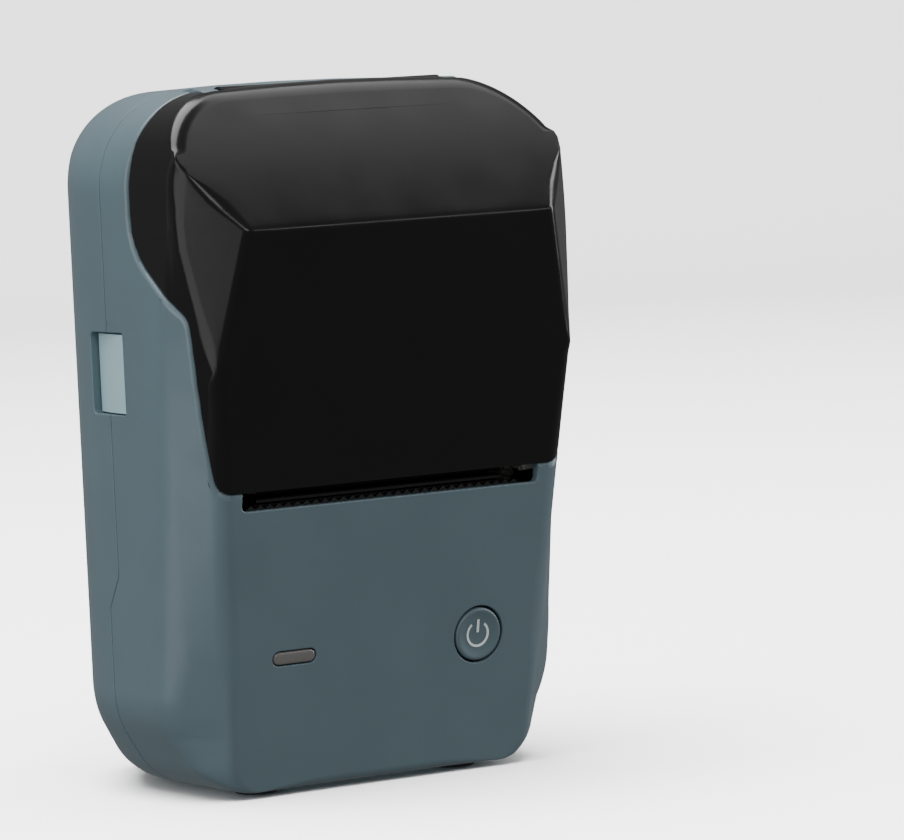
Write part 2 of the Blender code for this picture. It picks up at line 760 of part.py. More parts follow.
def ring(name, centre, outer_r, inner_r, axis, low, high, kind, sides=24):
    made = rod(name, centre, outer_r, axis, low, high, kind, sides)
    cut(made, rod("bore", centre, inner_r, axis, low - 1, high + 1, sides=max(12, sides // 2)))
    return finish(made, name, kind)


def make_lid_group(outer):
    lid = make_lid(outer)
    frame = make_lid_frame()
    shaft = rod("platen_shaft", PLATEN, 1.5, "x", -32.6, 36.4, sides=16)
    finish(shaft, "platen_shaft", "steel")
    rubber = ring("platen_rubber", PLATEN, PLATEN_R, 1.8, "x",
                  -PLATEN_HALF, PLATEN_HALF, "rubber", 32)
    drive = gear("platen_gear", PLATEN, TEETH_PLATEN, MODULE, IDLER_TURN, "x", *GEAR_X, 1.8)
    bushes = [
        ring(name, PLATEN, 2.8, 1.8, "x", *sorted((side * 28.3, side * 30.1)), "gear", 20)
        for side, name in ((-1, "left_bushing"), (1, "right_bushing"))]
    hinge = pivot("lid_hinge_axis", (0, HINGE_Y, HINGE_Z))
    spin = pivot("platen_axis", (0, *PLATEN))
    hang(hinge, spin)
    hang(hinge, lid, frame, *bushes)
    hang(spin, shaft, rubber, drive)


# ------------------------------------------------------------------ print head
HEAD_TOP = 55.8


def make_head():
    plate = box("head_heatsink", (-27.5, 27.5), (-26.2, -17.0), (51.6, HEAD_TOP - 1.1))
    for side in (-1, 1):
        pocket = rod("pocket", (side * 16, -21.5), 3.2, "z", 50, 52.6, sides=16)
        cut(plate, pocket)
    finish(plate, "head_heatsink", "alloy")
    strip = prism("print_head", rounded(
        [(-26.0, HEAD_TOP - 0.8), (-17.5, HEAD_TOP - 0.8), (-17.5, HEAD_TOP), (-26.0, HEAD_TOP)],
        (0, 0.3, 0.3, 0.3), 2), "x", -27.0, 27.0)
    finish(strip, "print_head", "ceramic")
    springs = [
        coil(name, (side * 16, -21.5), 2.4, 0.35, 5, "z", 46.6, 52.1)
        for side, name in ((-1, "left_head_spring"), (1, "right_head_spring"))]
    hang(pivot("head_float", (0, -21.5, 53.0)), plate, strip, *springs)
    bracket = box("head_bracket", (-29.8, 29.8), (-25.0, -17.2), (44.0, 45.6))
    for side in (-1, 1):
        join(bracket, box("upright", sorted((side * 28.6, side * 29.8)),
                          (-25.0, -17.2), (45.0, 53.0)))
    finish(bracket, "head_bracket", "alloy")
    teeth = 30
    half = 30.0
    edge = [(-half, 50.0), (half, 50.0)]
    for i in range(teeth):
        right = half - 2 * half * i / teeth
        edge += [(right, 54.0), (right - half / teeth, 54.7)]
    edge.append((-half, 54.0))
    finish(prism("tear_bar", edge, "y", -27.4, -26.8), "tear_bar", "steel", 20)
    finish(box("gap_sensor_board", (-6, 6), (-16.6, -15.4), (56.6, 63.4)),
           "gap_sensor_board", "board")


# ------------------------------------------------------------------ label bay
LEFT_RACK_Y = ROLL[0] - PINION_TEETH * PINION_MODULE / 2 - MESH_SLACK


def make_chassis():
    tub = prism("tub", rounded(
        [(-13.5, 64.8), (30.5, 64.8), (30.5, 118.0), (-4.0, 118.0), (-13.5, 104.0)],
        (2, 6, 3, 4, 4), 3), "x", -TUB_HALF, TUB_HALF)
    keep(tub, case_form("tub limit", soften=False, inset=WALL + GAP + 0.1))
    floor_arc = arc(ROLL, ROLL_R, 180, 360, 20)
    bay = [(-60, 150), (-60, ROLL[1]), *floor_arc, (ROLL[0] + ROLL_R, 150)]
    cut(tub, prism("bay", bay, "x", -BAY_HALF, BAY_HALF))
    under = rounded([(-11.5, 60), (-11.5, 75.0), (-7.0, 69.5), (-3.5, 60)], (0, 1, 2, 0), 3)
    cut(tub, prism("under front", under, "x", -BAY_HALF, BAY_HALF))
    under = rounded([(29.0, 60), (29.0, 85.0), (24.0, 74.5), (14.5, 60)], (0, 1, 6, 0), 3)
    cut(tub, prism("under rear", under, "x", -BAY_HALF, BAY_HALF))
    for side in (-1, 1):
        slot_x = sorted((side * 10.5, side * (BAY_HALF)))
        near, far = LEFT_RACK_Y - 3.0, LEFT_RACK_Y - 0.3
        slot_y = (near, far)
        if side > 0:
            slot_y = (2 * ROLL[0] - far, 2 * ROLL[0] - near)
        cut(tub, box("guide slot", slot_x, slot_y, (60, 90)))
    join(tub, rod("pinion pin", (0, ROLL[0]), 1.0, "z", RACK_Z[0], 66, sides=10))
    return finish(tub, "chassis", "frame")


def rack_teeth(start, count):
    """Teeth of the left rack, (X, Y): a space lies opposite the pinion's tooth at X = 0."""
    pitch = pi * PINION_MODULE
    levels = ((-0.75, 0.31), (0.0, 0.205), (0.5, 0.12))
    outline = []
    for i in range(count):
        middle = (start + i + 0.5) * pitch
        left = [(middle - w * pitch, LEFT_RACK_Y + h) for h, w in levels]
        right = [(middle + w * pitch, LEFT_RACK_Y + h) for h, w in reversed(levels)]
        outline += left + right
    return outline


def make_guides():
    pieces = {}
    for side, name in ((-1, "left_roll_guide"), (1, "right_roll_guide")):
        near, far = ROLL[0] - 15.0, ROLL[0] + 15.0
        wall = rounded([(near, 86.0), (near + 7, 73.5), (far - 7, 73.5), (far, 86.0),
                        (far, 104.0), (far - 7, 111.0), (near + 7, 111.0), (near, 104.0)],
                       (4,) * 8, 3)
        guide = prism("guide", wall, "x", -30.1, -28.4)
        cut(guide, rod("window", (ROLL[0], ROLL[1] - 1), 7.5, "x", -40, -20, sides=24))
        foot_y = (LEFT_RACK_Y - 2.7, LEFT_RACK_Y - 0.75)
        join(guide, box("foot", (-30.1, -26.0), foot_y, (62.0, 75.0)))
        teeth = rack_teeth(-9, 11)
        low_y = foot_y[0]
        body = [(-30.1, low_y), (teeth[-1][0], low_y), *reversed(teeth),
                (-30.1, LEFT_RACK_Y - 0.75)]
        join(guide, prism("rack", body, "z", *RACK_Z))
        if side > 0:
            turn = Matrix.Translation(Vector((0, ROLL[0], 0)) * MM)
            guide.data.transform(turn @ Matrix.Rotation(pi, 4, "Z") @ turn.inverted())
        pieces[name] = finish(guide, name, "gear")
        hang(pivot(name + "_slide", (side * 29.3, ROLL[0], 63.0)), pieces[name])
    pinion = gear("guide_pinion", (0, ROLL[0]), PINION_TEETH, PINION_MODULE, -90, "z",
                  *RACK_Z, 1.4)
    hang(pivot("guide_pinion_axis", (0, ROLL[0], 63.0)), pinion)


# ------------------------------------------------------------------ controls
HOOK_X = (33.5, 34.5)


def make_release(side, word):
    def span(low, high):
        return sorted((side * low, side * high))

    y0, y1 = RELEASE_Y
    z0, z1 = RELEASE_Z
    bend = (y0 + y1) / 2
    plan = [(38.6, y0), (HALF_W, y0), (HALF_W - 0.5, bend), (HALF_W - RELEASE_SLOPE, y1),
            (38.6, y1)]
    outline = [(side * x, y) for x, y in plan]
    button = prism("button", outline, "z", z0, z1)
    join(button, box("flange", span(38.6, 40.2), (y0 - 1.6, y1 + 1.6), (z0 - 1.6, z1 + 1.6)))
    button_name = word + "_release_button"
    finish(button, button_name, "aqua")
    hook = box("hook", span(*HOOK_X), (-26.0, -3.5), (71.0, 74.5))
    join(hook, box("hook base", span(HOOK_X[0], 38.3), (-7.5, -3.5), (71.0, 74.5)))
    join(hook, box("hook nose", span(HOOK_X[0] + 0.3, 35.1), (-26.0, -24.0), (71.3, 74.2)))
    finish(hook, word + "_latch_hook", "frame")
    spring = coil(word + "_latch_spring", (0.5, 79.5), 2.4, 0.35, 4, "x", *span(33.6, 38.3))
    hang(pivot(word + "_release_slide", (side * 40, (y0 + y1) / 2, 79.0)),
         button, hook, spring)


def make_controls():
    for side, word in ((-1, "left"), (1, "right")):
        make_release(side, word)
    spot = (BUTTON_X, BUTTON_Z)
    cap = on_front("power", circle(spot, BUTTON_R, 32), 4.0, -0.1)
    join(cap, on_front("flange", circle(spot, BUTTON_R + 1.4, 24), 3.6, 2.4))
    finish(cap, "power_button", "slate")
    hang(pivot("power_button_slide", (BUTTON_X, front_y(BUTTON_Z), BUTTON_Z)), cap)
    lens = on_front("lens", pill((LED_X, LED_Z), LED_HALF), 3.2, 0.0)
    join(lens, on_front("lens flange", pill((LED_X, LED_Z), LED_HALF, 1.0), 3.4, 2.4))
    finish(lens, "led_lens", "smoke")


def on_board(name, x, z, depth, kind):
    outline = [(x[0], z[0]), (x[1], z[0]), (x[1], z[1]), (x[0], z[1])]
    return finish(on_front(name, outline, depth[1], depth[0], kind, None), name, kind)


def make_electronics():
    on_board("main_pcb", (-30, 30), (15, 41), (9.0, 10.6), "board")
    switch = on_front("switch", [(BUTTON_X - 3, BUTTON_Z - 3), (BUTTON_X + 3, BUTTON_Z - 3),
                                 (BUTTON_X + 3, BUTTON_Z + 3), (BUTTON_X - 3, BUTTON_Z + 3)],
                      8.7, 5.6)
    join(switch, on_front("plunger", circle((BUTTON_X, BUTTON_Z), 1.6, 14), 6.0, 4.95))
    finish(switch, "tact_switch", "frame")
    on_board("status_led", (LED_X - 1.6, LED_X + 1.6), (LED_Z - 1, LED_Z + 1), (6.6, 8.7),
             "ceramic")
    on_board("radio_module", (-7, 7), (19, 35), (6.9, 8.7), "alloy")
    battery = rounded([(9.5, 19.5), (30.0, 19.5), (30.0, 54.0), (9.5, 54.0)], (7,) * 4, 4)
    finish(prism("battery_pack", battery, "x", -25, 25), "battery_pack", "wrap")
    finish(box("usb_board", (-11, 11), (20.0, 36.0), (10.6, 12.2)), "usb_board", "board")
    shell = prism("usb", pill((0, 15.0), (4.5, 1.7)), "y", 29.5, 38.0)
    cut(shell, prism("usb mouth", pill((0, 15.0), (4.2, 1.4)), "y", 31.0, 40.0))
    finish(shell, "usb_port", "alloy")


clear_scene()
make_fasteners()
make_lid_group(make_shells())
make_drive()
make_head()
make_chassis()
make_guides()
make_controls()
make_electronics()
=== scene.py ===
import json
from math import cos, hypot, pi, radians, sin

import bmesh
import bpy
import numpy as np
from mathutils import Matrix, Vector
from mathutils.bvhtree import BVHTree


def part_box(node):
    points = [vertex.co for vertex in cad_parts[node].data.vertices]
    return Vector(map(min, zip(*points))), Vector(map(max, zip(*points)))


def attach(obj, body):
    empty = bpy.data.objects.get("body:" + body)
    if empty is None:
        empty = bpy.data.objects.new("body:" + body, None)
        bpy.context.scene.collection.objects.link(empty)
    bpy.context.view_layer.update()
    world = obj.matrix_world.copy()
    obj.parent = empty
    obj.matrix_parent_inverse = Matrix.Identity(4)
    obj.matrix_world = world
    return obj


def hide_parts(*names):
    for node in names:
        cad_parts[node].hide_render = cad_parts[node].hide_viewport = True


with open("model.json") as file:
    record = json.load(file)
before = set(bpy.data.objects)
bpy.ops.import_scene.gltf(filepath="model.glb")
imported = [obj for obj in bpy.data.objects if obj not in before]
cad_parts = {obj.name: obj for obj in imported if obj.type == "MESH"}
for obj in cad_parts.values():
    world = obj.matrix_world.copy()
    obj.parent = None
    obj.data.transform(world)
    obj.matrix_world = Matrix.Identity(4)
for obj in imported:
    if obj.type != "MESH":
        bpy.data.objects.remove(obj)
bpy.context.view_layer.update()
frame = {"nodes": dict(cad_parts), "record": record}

MM = 0.001
ROOT = "root"

# ------------------------------------------------------------------ the case, in mm
GAP = 0.3                  # clearance between neighbouring pieces
WALL = 2.0                 # moulded wall thickness

# ---- case, seen from the front
HALF_W = 43.0
TOP_Z = 131.0
BASE_Z = 1.2               # underside of the case, above the table
TOP_R = 18.0               # rounding of the two top corners
CROWN = 0.6                # how much the middle of the top stands proud
SHOULDER_X = HALF_W - TOP_R
CORNER = (                 # bottom corner: X, Z, how far the face's edge lies inside it
    (43.0, 26.0, 8.8), (43.0, 15.5, 9.7), (36.6, 4.9, 3.8), (30.5, 1.2, 1.0), (22.0, 1.2, 0.0))

# ---- case, seen from the side
REAR_Y = 38.5
REAR_HALF_W = 24.0
REAR_MID = (36.5, 21.0)    # the sides draw in towards the rear
REAR_SIDE_Y = 8.0          # and start to do so here
CREASE_Y = -38.46
CREASE_Z = 105.3
CREASE_SOFT = 0.9          # half the height of the soft crease
LEAN = 0.161               # the front face leans back below the crease
SLANT = 0.74               # and the top facet leans back above it,
BOW = 0.0016               # a little more towards the top
PART_Y = -2.4              # parting plane between the shells
PART_LOW_Y = 1.2           # and its step back near the base
PART_STEP_Z = (41.5, 35.5)

# ---- front face outline, half widths
FACE_VERTEX = (38.8, 77.8)     # widest point
FACE_NARROW = 0.0885           # it narrows by this much per mm below
CREASE_HALF_W = 33.2
TOP_BLEND = 1.3                # the facet's edge runs into the top corner over this width
FACET_TOP = (41.2, 116.4)      # top corner of the side facet
FACET_BEND = (43.0, -28.5, 107.0)   # and the bend in its rear edge, X, Y, Z

# ---- cover opening, side view
LID_SHOULDER_Z = 102.0
LID_KNEE = (-28.8, 89.5)
LID_FOOT = (-29.7, 56.0)
HINGE_Y = -14.8
HINGE_Z = 128.3
BARREL_R = 2.6
HINGE_HALF = 24.0

# ---- paper slot
SLOT_HALF_W = 32.5
SLOT_Z = 54.0

# ---- controls
BUTTON_X = 20.6
BUTTON_Z = 26.0
BUTTON_R = 5.0
LED_X = -20.1
LED_Z = 25.9
LED_HALF = (4.5, 1.15)
RELEASE_X = 38.6           # inner end of the button
RELEASE_Y = (-8.1, 3.3)
RELEASE_Z = (71.9, 86.4)
RELEASE_SLOPE = 1.6        # the button's rear edge sits this much deeper


# ------------------------------------------------------------------ camera
CAMERA = {"azimuth": -33.483, "elevation": 4.48, "roll": 2.649, "distance": 0.973122,
          "right": -0.031852, "up": 0.006765, "aim": (0.0, -0.10892, 0.066), "lens": 224.5}


def make_camera():
    a, e, r = (radians(CAMERA[k]) for k in ("azimuth", "elevation", "roll"))
    back = Vector((sin(a) * cos(e), -cos(a) * cos(e), sin(e)))
    right = Vector((cos(a), sin(a), 0.0))
    up = back.cross(right)
    place = (Vector(CAMERA["aim"]) + right * CAMERA["right"] + up * CAMERA["up"]
             + back * CAMERA["distance"])
    right_rolled = right * cos(r) - up * sin(r)
    up_rolled = right * sin(r) + up * cos(r)
    data = bpy.data.cameras.new("camera")
    data.lens = CAMERA["lens"]
    data.clip_start = 0.01
    data.clip_end = 20
    made = bpy.data.objects.new("camera", data)
    turn = Matrix((right_rolled, up_rolled, back)).transposed().to_4x4()
    made.matrix_world = Matrix.Translation(place) @ turn
    bpy.context.scene.collection.objects.link(made)
    bpy.context.scene.camera = made


# ------------------------------------------------------------------ materials
def new_material(name, colour, roughness, metallic=0.0, specular=0.5, coat=0.0):
    made = bpy.data.materials.new(name)
    made.use_nodes = True
    shader = made.node_tree.nodes["Principled BSDF"]
    shader.inputs["Base Color"].default_value = (*colour, 1.0)
    shader.inputs["Roughness"].default_value = roughness
    shader.inputs["Metallic"].default_value = metallic
    shader.inputs["Specular IOR Level"].default_value = specular
    shader.inputs["Coat Weight"].default_value = coat
    return made, made.node_tree, shader


def noise(tree, scale, detail=3.0, stretch=(1, 1, 1)):
    place = tree.nodes.new("ShaderNodeTexCoord")
    fit = tree.nodes.new("ShaderNodeMapping")
    fit.inputs["Scale"].default_value = stretch
    made = tree.nodes.new("ShaderNodeTexNoise")
    made.inputs["Scale"].default_value = scale
    made.inputs["Detail"].default_value = detail
    tree.links.new(place.outputs["Object"], fit.inputs["Vector"])
    tree.links.new(fit.outputs["Vector"], made.inputs["Vector"])
    return made


def spread(tree, source, low, high):
    made = tree.nodes.new("ShaderNodeMapRange")
    made.inputs["From Min"].default_value = 0.3
    made.inputs["From Max"].default_value = 0.7
    made.inputs["To Min"].default_value = low
    made.inputs["To Max"].default_value = high
    tree.links.new(source.outputs["Fac"], made.inputs["Value"])
    return made


def add_grain(tree, shader, scale, strength, depth=0.00003, stretch=(1, 1, 1)):
    grain = noise(tree, scale, 2.0, stretch)
    bump = tree.nodes.new("ShaderNodeBump")
    bump.inputs["Strength"].default_value = strength
    bump.inputs["Distance"].default_value = depth
    tree.links.new(grain.outputs["Fac"], bump.inputs["Height"])
    tree.links.new(bump.outputs["Normal"], shader.inputs["Normal"])


def add_tones(tree, shader, dark, light, scale):
    """A slow drift between two close colours."""
    ramp = tree.nodes.new("ShaderNodeValToRGB")
    ramp.color_ramp.elements[0].position = 0.3
    ramp.color_ramp.elements[0].color = (*dark, 1)
    ramp.color_ramp.elements[1].position = 0.7
    ramp.color_ramp.elements[1].color = (*light, 1)
    tree.links.new(noise(tree, scale, 3.0).outputs["Fac"], ramp.inputs["Fac"])
    tree.links.new(ramp.outputs["Color"], shader.inputs["Base Color"])


def moulded(name, colour, roughness, grain=2600.0, strength=0.25, specular=0.5, vary=0.04,
            coat=0.0):
    made, tree, shader = new_material(name, colour, roughness, 0.0, specular, coat)
    dark = [c * (1 - vary) for c in colour]
    light = [c * (1 + vary) for c in colour]
    add_tones(tree, shader, dark, light, 60.0)
    add_grain(tree, shader, grain, strength)
    rough = spread(tree, noise(tree, 110.0), roughness - 0.03, roughness + 0.03)
    tree.links.new(rough.outputs["Result"], shader.inputs["Roughness"])
    return made


def metal(name, colour, roughness, stretch=(1, 1, 1), scale=900.0, strength=0.2):
    made, tree, shader = new_material(name, colour, roughness, 1.0)
    add_tones(tree, shader, [c * 0.92 for c in colour], colour, 150.0)
    add_grain(tree, shader, scale, strength, 0.00002, stretch)
    rough = spread(tree, noise(tree, 400.0, 4.0, stretch), roughness - 0.06, roughness + 0.08)
    tree.links.new(rough.outputs["Result"], shader.inputs["Roughness"])
    return made


SLATE = (0.115, 0.172, 0.198)
FINISHES = {
    "case_plastic": moulded("slate_case", SLATE, 0.37, 2400.0, 0.35),
    "cover_plastic": moulded("black_cover", (0.0085, 0.0085, 0.0090), 0.20, 3000.0, 0.08, 0.24),
    "release_plastic": moulded("aqua_button", (0.40, 0.60, 0.65), 0.40, 2400.0, 0.3),
    "frame_plastic": moulded("black_frame", (0.020, 0.020, 0.022), 0.55, 1500.0, 0.5),
    "gear_plastic": moulded("acetal", (0.72, 0.71, 0.66), 0.45, 1800.0, 0.2),
    "foot_rubber": moulded("soft_rubber", (0.016, 0.016, 0.017), 0.80, 1200.0, 0.9, 0.3),
    "steel": metal("bright_steel", (0.60, 0.60, 0.61), 0.25, (1, 8, 8)),
    "alloy": metal("satin_alloy", (0.74, 0.75, 0.76), 0.38, (6, 1, 1)),
    "head_ceramic": moulded("glazed_ceramic", (0.76, 0.73, 0.66), 0.20, 1500.0, 0.05, 0.6),
    "circuit_board": moulded("solder_mask", (0.010, 0.105, 0.040), 0.36, 700.0, 0.35),
    "battery_wrap": moulded("shrink_wrap", (0.030, 0.100, 0.300), 0.28, 500.0, 0.5, 0.5),
    "smoke_lens": moulded("smoked_lens", (0.160, 0.154, 0.150), 0.18, 2000.0, 0.05, 0.5, 0.1, 0.3),
}
PRINT = moulded("printed_white", (0.88, 0.92, 0.94), 0.5, 2500.0, 0.1)
DARK = {
    # the tear bar's near-black colour is painted shade: it stands for the dark inside the paper
    # slot
    "tear_bar": metal("steel_with_painted_slot_shade", (0.055, 0.055, 0.058), 0.45, (1, 8, 8)),
    "head_heatsink": metal("anodised_alloy", (0.030, 0.030, 0.032), 0.50, (6, 1, 1)),
    "print_head": moulded("dark_ceramic", (0.018, 0.017, 0.016), 0.30, 1500.0, 0.05, 0.4),
}
# black for the cross on each screw head: painted shade standing for the hollow of its cross recess
SCREW_RECESS_SHADE = moulded("painted_recess_shade", (0.012, 0.012, 0.013), 0.5, 2000.0, 0.4)
PALE = moulded("pale_floor", (0.86, 0.86, 0.86), 0.6, 40.0, 0.02, 0.2, 0.003)


# ------------------------------------------------------------------ tools
def piece(name, work, finish, body=ROOT, sharp=35, replaces=()):
    mesh = bpy.data.meshes.new(name)
    bmesh.ops.recalc_face_normals(work, faces=work.faces)
    work.to_mesh(mesh)
    work.free()
    mesh.shade_smooth()
    mesh.set_sharp_from_angle(angle=radians(sharp))
    made = bpy.data.objects.new(name, mesh)
    bpy.context.scene.collection.objects.link(made)
    mesh.materials.append(FINISHES[finish] if isinstance(finish, str) else finish)
    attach(made, body)
    if replaces:
        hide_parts(*replaces)
    return made


def soften(work, width, segments, limit):
    sharp = [e for e in work.edges if len(e.link_faces) == 2
             and e.calc_face_angle(0) > radians(limit)]
    bmesh.ops.bevel(work, geom=sharp, offset=width, segments=segments, profile=0.5,
                    affect="EDGES", clamp_overlap=True)


def add_block(work, low, high, edge):
    made = bmesh.ops.create_cube(work, size=1.0)["verts"]
    for v in made:
        v.co = Vector(low[i] + (v.co[i] + 0.5) * (high[i] - low[i]) for i in range(3))
    edges = list({e for v in made for e in v.link_edges})
    bmesh.ops.bevel(work, geom=edges, offset=edge, segments=2, profile=0.5,
                    affect="EDGES", clamp_overlap=True)


def add_outline(work, points, place):
    """A closed solid through rows of points; place turns (x, y, height) into a vector."""
    rows = [[work.verts.new(place(*p)) for p in row] for row in points]
    count = len(rows[0])
    for a, b in zip(rows, rows[1:]):
        for i in range(count):
            j = (i + 1) % count
            work.faces.new((a[i], a[j], b[j], b[i]))
    work.faces.new(rows[0])
    work.faces.new(rows[-1])


def round_row(x, z, r, sides):
    return [(x + r * cos(2 * pi * i / sides), z + r * sin(2 * pi * i / sides))
            for i in range(sides)]


def pill_row(x, z, long, short, steps=14):
    reach = long - short
    right = [radians(-90 + 180 * i / steps) for i in range(steps + 1)]
    left = [radians(90 + 180 * i / steps) for i in range(steps + 1)]
    return ([(x + reach + short * cos(t), z + short * sin(t)) for t in right]
            + [(x - reach + short * cos(t), z + short * sin(t)) for t in left])


# The leaning front face: its depth at a height, and its inward normal.
INWARD = Vector((0, 1, LEAN)) / hypot(1, LEAN)


def on_face(x, z, depth):
    y = CREASE_Y + LEAN * (CREASE_Z - z)
    return (Vector((x, y, z)) + INWARD * depth) * MM


def turned(work, x, z, profile):
    """A round boss on the front face; profile is (radius, depth) from its rim to its middle."""
    rows = [[(px, pz, depth) for px, pz in round_row(x, z, max(r, 0.02), 64)]
            for r, depth in profile]
    add_outline(work, rows, on_face)


# ------------------------------------------------------------------ solids
def mesh_object(name, verts, faces):
    mesh = bpy.data.meshes.new(name)
    mesh.from_pydata([Vector(v) * MM for v in verts], [], faces)
    work = bmesh.new()
    work.from_mesh(mesh)
    bmesh.ops.remove_doubles(work, verts=work.verts, dist=1e-7)
    bmesh.ops.recalc_face_normals(work, faces=work.faces)
    work.to_mesh(mesh)
    work.free()
    made = bpy.data.objects.new(name, mesh)
    bpy.context.scene.collection.objects.link(made)
    return made


def prism(name, outline, axis, low, high):
    """Extrudes a closed outline along an axis.

    The outline's pairs are (Y, Z) along X, (X, Z) along Y and (X, Y) along Z.
    """
    place = {
        "x": lambda p, t: (t, p[0], p[1]),
        "y": lambda p, t: (p[0], t, p[1]),
        "z": lambda p, t: (p[0], p[1], t),
    }[axis]
    count = len(outline)
    verts = [place(p, t) for t in (low, high) for p in outline]
    faces = [tuple(range(count)), tuple(range(count, 2 * count))]
    for i in range(count):
        j = (i + 1) % count
        faces.append((i, j, count + j, count + i))
    return mesh_object(name, verts, faces)


def box(name, x, y, z):
    outline = [(x[0], y[0]), (x[1], y[0]), (x[1], y[1]), (x[0], y[1])]
    return prism(name, outline, "z", z[0], z[1])


def circle(centre, radius, sides):
    steps = [2 * pi * i / sides for i in range(sides)]
    return [(centre[0] + radius * cos(t), centre[1] + radius * sin(t)) for t in steps]


def rod(name, centre, radius, axis, low, high, sides=24):
    return prism(name, circle(centre, radius, sides), axis, low, high)


def arc(centre, radius, start, end, steps):
    turns = [radians(start + (end - start) * i / steps) for i in range(steps + 1)]
    return [(centre[0] + radius * cos(t), centre[1] + radius * sin(t)) for t in turns]


def rounded(points, radii, steps=4):
    """A closed outline with each corner rounded by its own radius."""
    outline = []
    for i, (point, radius) in enumerate(zip(points, radii)):
        here = Vector(point)
        if not radius:
            outline.append(tuple(here))
            continue
        back = (Vector(points[i - 1]) - here).normalized()
        ahead = (Vector(points[(i + 1) % len(points)]) - here).normalized()
        half = back.angle(ahead) / 2
        reach = radius / np.tan(half)
        middle = here + (back + ahead).normalized() * radius / sin(half)
        first = here + back * reach - middle
        last = here + ahead * reach - middle
        sweep = first.angle_signed(last)
        for k in range(steps + 1):
            outline.append(tuple(middle + first @ Matrix.Rotation(sweep * k / steps, 2)))
    return outline


def bake(thing):
    """Applies an object's modifiers."""
    graph = bpy.context.evaluated_depsgraph_get()
    graph.update()
    done = bpy.data.meshes.new_from_object(thing.evaluated_get(graph))
    thing.modifiers.clear()
    thing.data = done


def combine(thing, other, how):
    step = thing.modifiers.new(how, "BOOLEAN")
    step.operation = how
    step.solver = "EXACT"
    step.object = other
    bake(thing)
    bpy.data.objects.remove(other, do_unlink=True)
    return thing


def cut(thing, *others):
    for other in others:
        combine(thing, other, "DIFFERENCE")
    return thing


def join(thing, *others):
    for other in others:
        combine(thing, other, "UNION")
    return thing


def keep(thing, other):
    return combine(thing, other, "INTERSECT")


def flatten(thing):
    """Splits every face that isn't flat."""
    work = bmesh.new()
    work.from_mesh(thing.data)
    bmesh.ops.remove_doubles(work, verts=work.verts, dist=2e-6)
    bmesh.ops.dissolve_degenerate(work, edges=work.edges, dist=2e-6)
    bmesh.ops.connect_verts_nonplanar(work, angle_limit=radians(0.05), faces=work.faces)
    work.to_mesh(thing.data)
    work.free()


def copy_of(thing, name):
    made = thing.copy()
    made.data = thing.data.copy()
    made.name = name
    bpy.context.scene.collection.objects.link(made)
    return made


# ------------------------------------------------------------------ outer form
def front_y(z, soft=False):
    """Depth of the front at a height: the leaning face, the crease, the slanted facet."""
    over = z - CREASE_Z
    if soft and abs(over) < CREASE_SOFT:
        share = (over + CREASE_SOFT) / (2 * CREASE_SOFT)
        return CREASE_Y + CREASE_SOFT * (LEAN * (1 - share) ** 2 + SLANT * share ** 2)
    if over < 0:
        return CREASE_Y - LEAN * over
    return CREASE_Y + SLANT * over + BOW * over * over


def face_half_width(z):
    wide_x, wide_z = FACE_VERTEX
    if z <= wide_z:
        return wide_x - FACE_NARROW * (wide_z - z)
    share = (z - wide_z) / (CREASE_Z - wide_z)
    if share <= 1:
        return wide_x + (CREASE_HALF_W - wide_x) * share
    top_x, top_z = FACET_TOP
    share = (z - CREASE_Z) / (top_z - CREASE_Z)
    return CREASE_HALF_W + (top_x - CREASE_HALF_W) * share


def side_y(z):
    """Depth of the soft vertical edge between the side and the front chamfer."""
    heights = (30.0, 86.0, 104.0, 116.0)
    depths = (-18.0, -21.6, -26.1, -27.0)
    return float(np.interp(z, heights, depths))


def facet_back(z):
    """Rear edge of the cover's side facet, (X, Y), between its two ends."""
    low_x, low_z = FACE_VERTEX
    top_x, top_z = FACET_TOP
    heights = (low_z, FACET_BEND[2], top_z)
    across = (low_x, FACET_BEND[0], top_x)
    depth = (front_y(low_z), FACET_BEND[1], front_y(top_z))
    reach = max(0.0, min(5.0, z - low_z, top_z - z))
    nearby = (z - reach, z, z + reach)
    return (float(np.mean(np.interp(nearby, heights, across))),
            float(np.mean(np.interp(nearby, heights, depth))))


def soft_path(corners, reaches, steps):
    """A line through the corners, each one rounded; corners that coincide share a curve."""
    corners = [np.array(c, float) for c in corners]
    path = [corners[0]]
    i = 1
    while i < len(corners) - 1:
        last = i
        while last < len(corners) - 2 and np.linalg.norm(corners[last + 1] - corners[i]) < 1e-6:
            last += 1
        back, ahead = corners[i - 1] - corners[i], corners[last + 1] - corners[i]
        room = 0.45 * min(np.linalg.norm(back), np.linalg.norm(ahead))
        reach = min(max(reaches[i:last + 1]), room)
        first = corners[i] + back / np.linalg.norm(back) * reach
        final = corners[i] + ahead / np.linalg.norm(ahead) * reach
        count = (steps + 1) * (last - i + 1)
        for k in range(count):
            t = k / (count - 1)
            path.append((1 - t) ** 2 * first + 2 * t * (1 - t) * corners[i] + t * t * final)
        i = last + 1
    path.append(corners[-1])
    return path


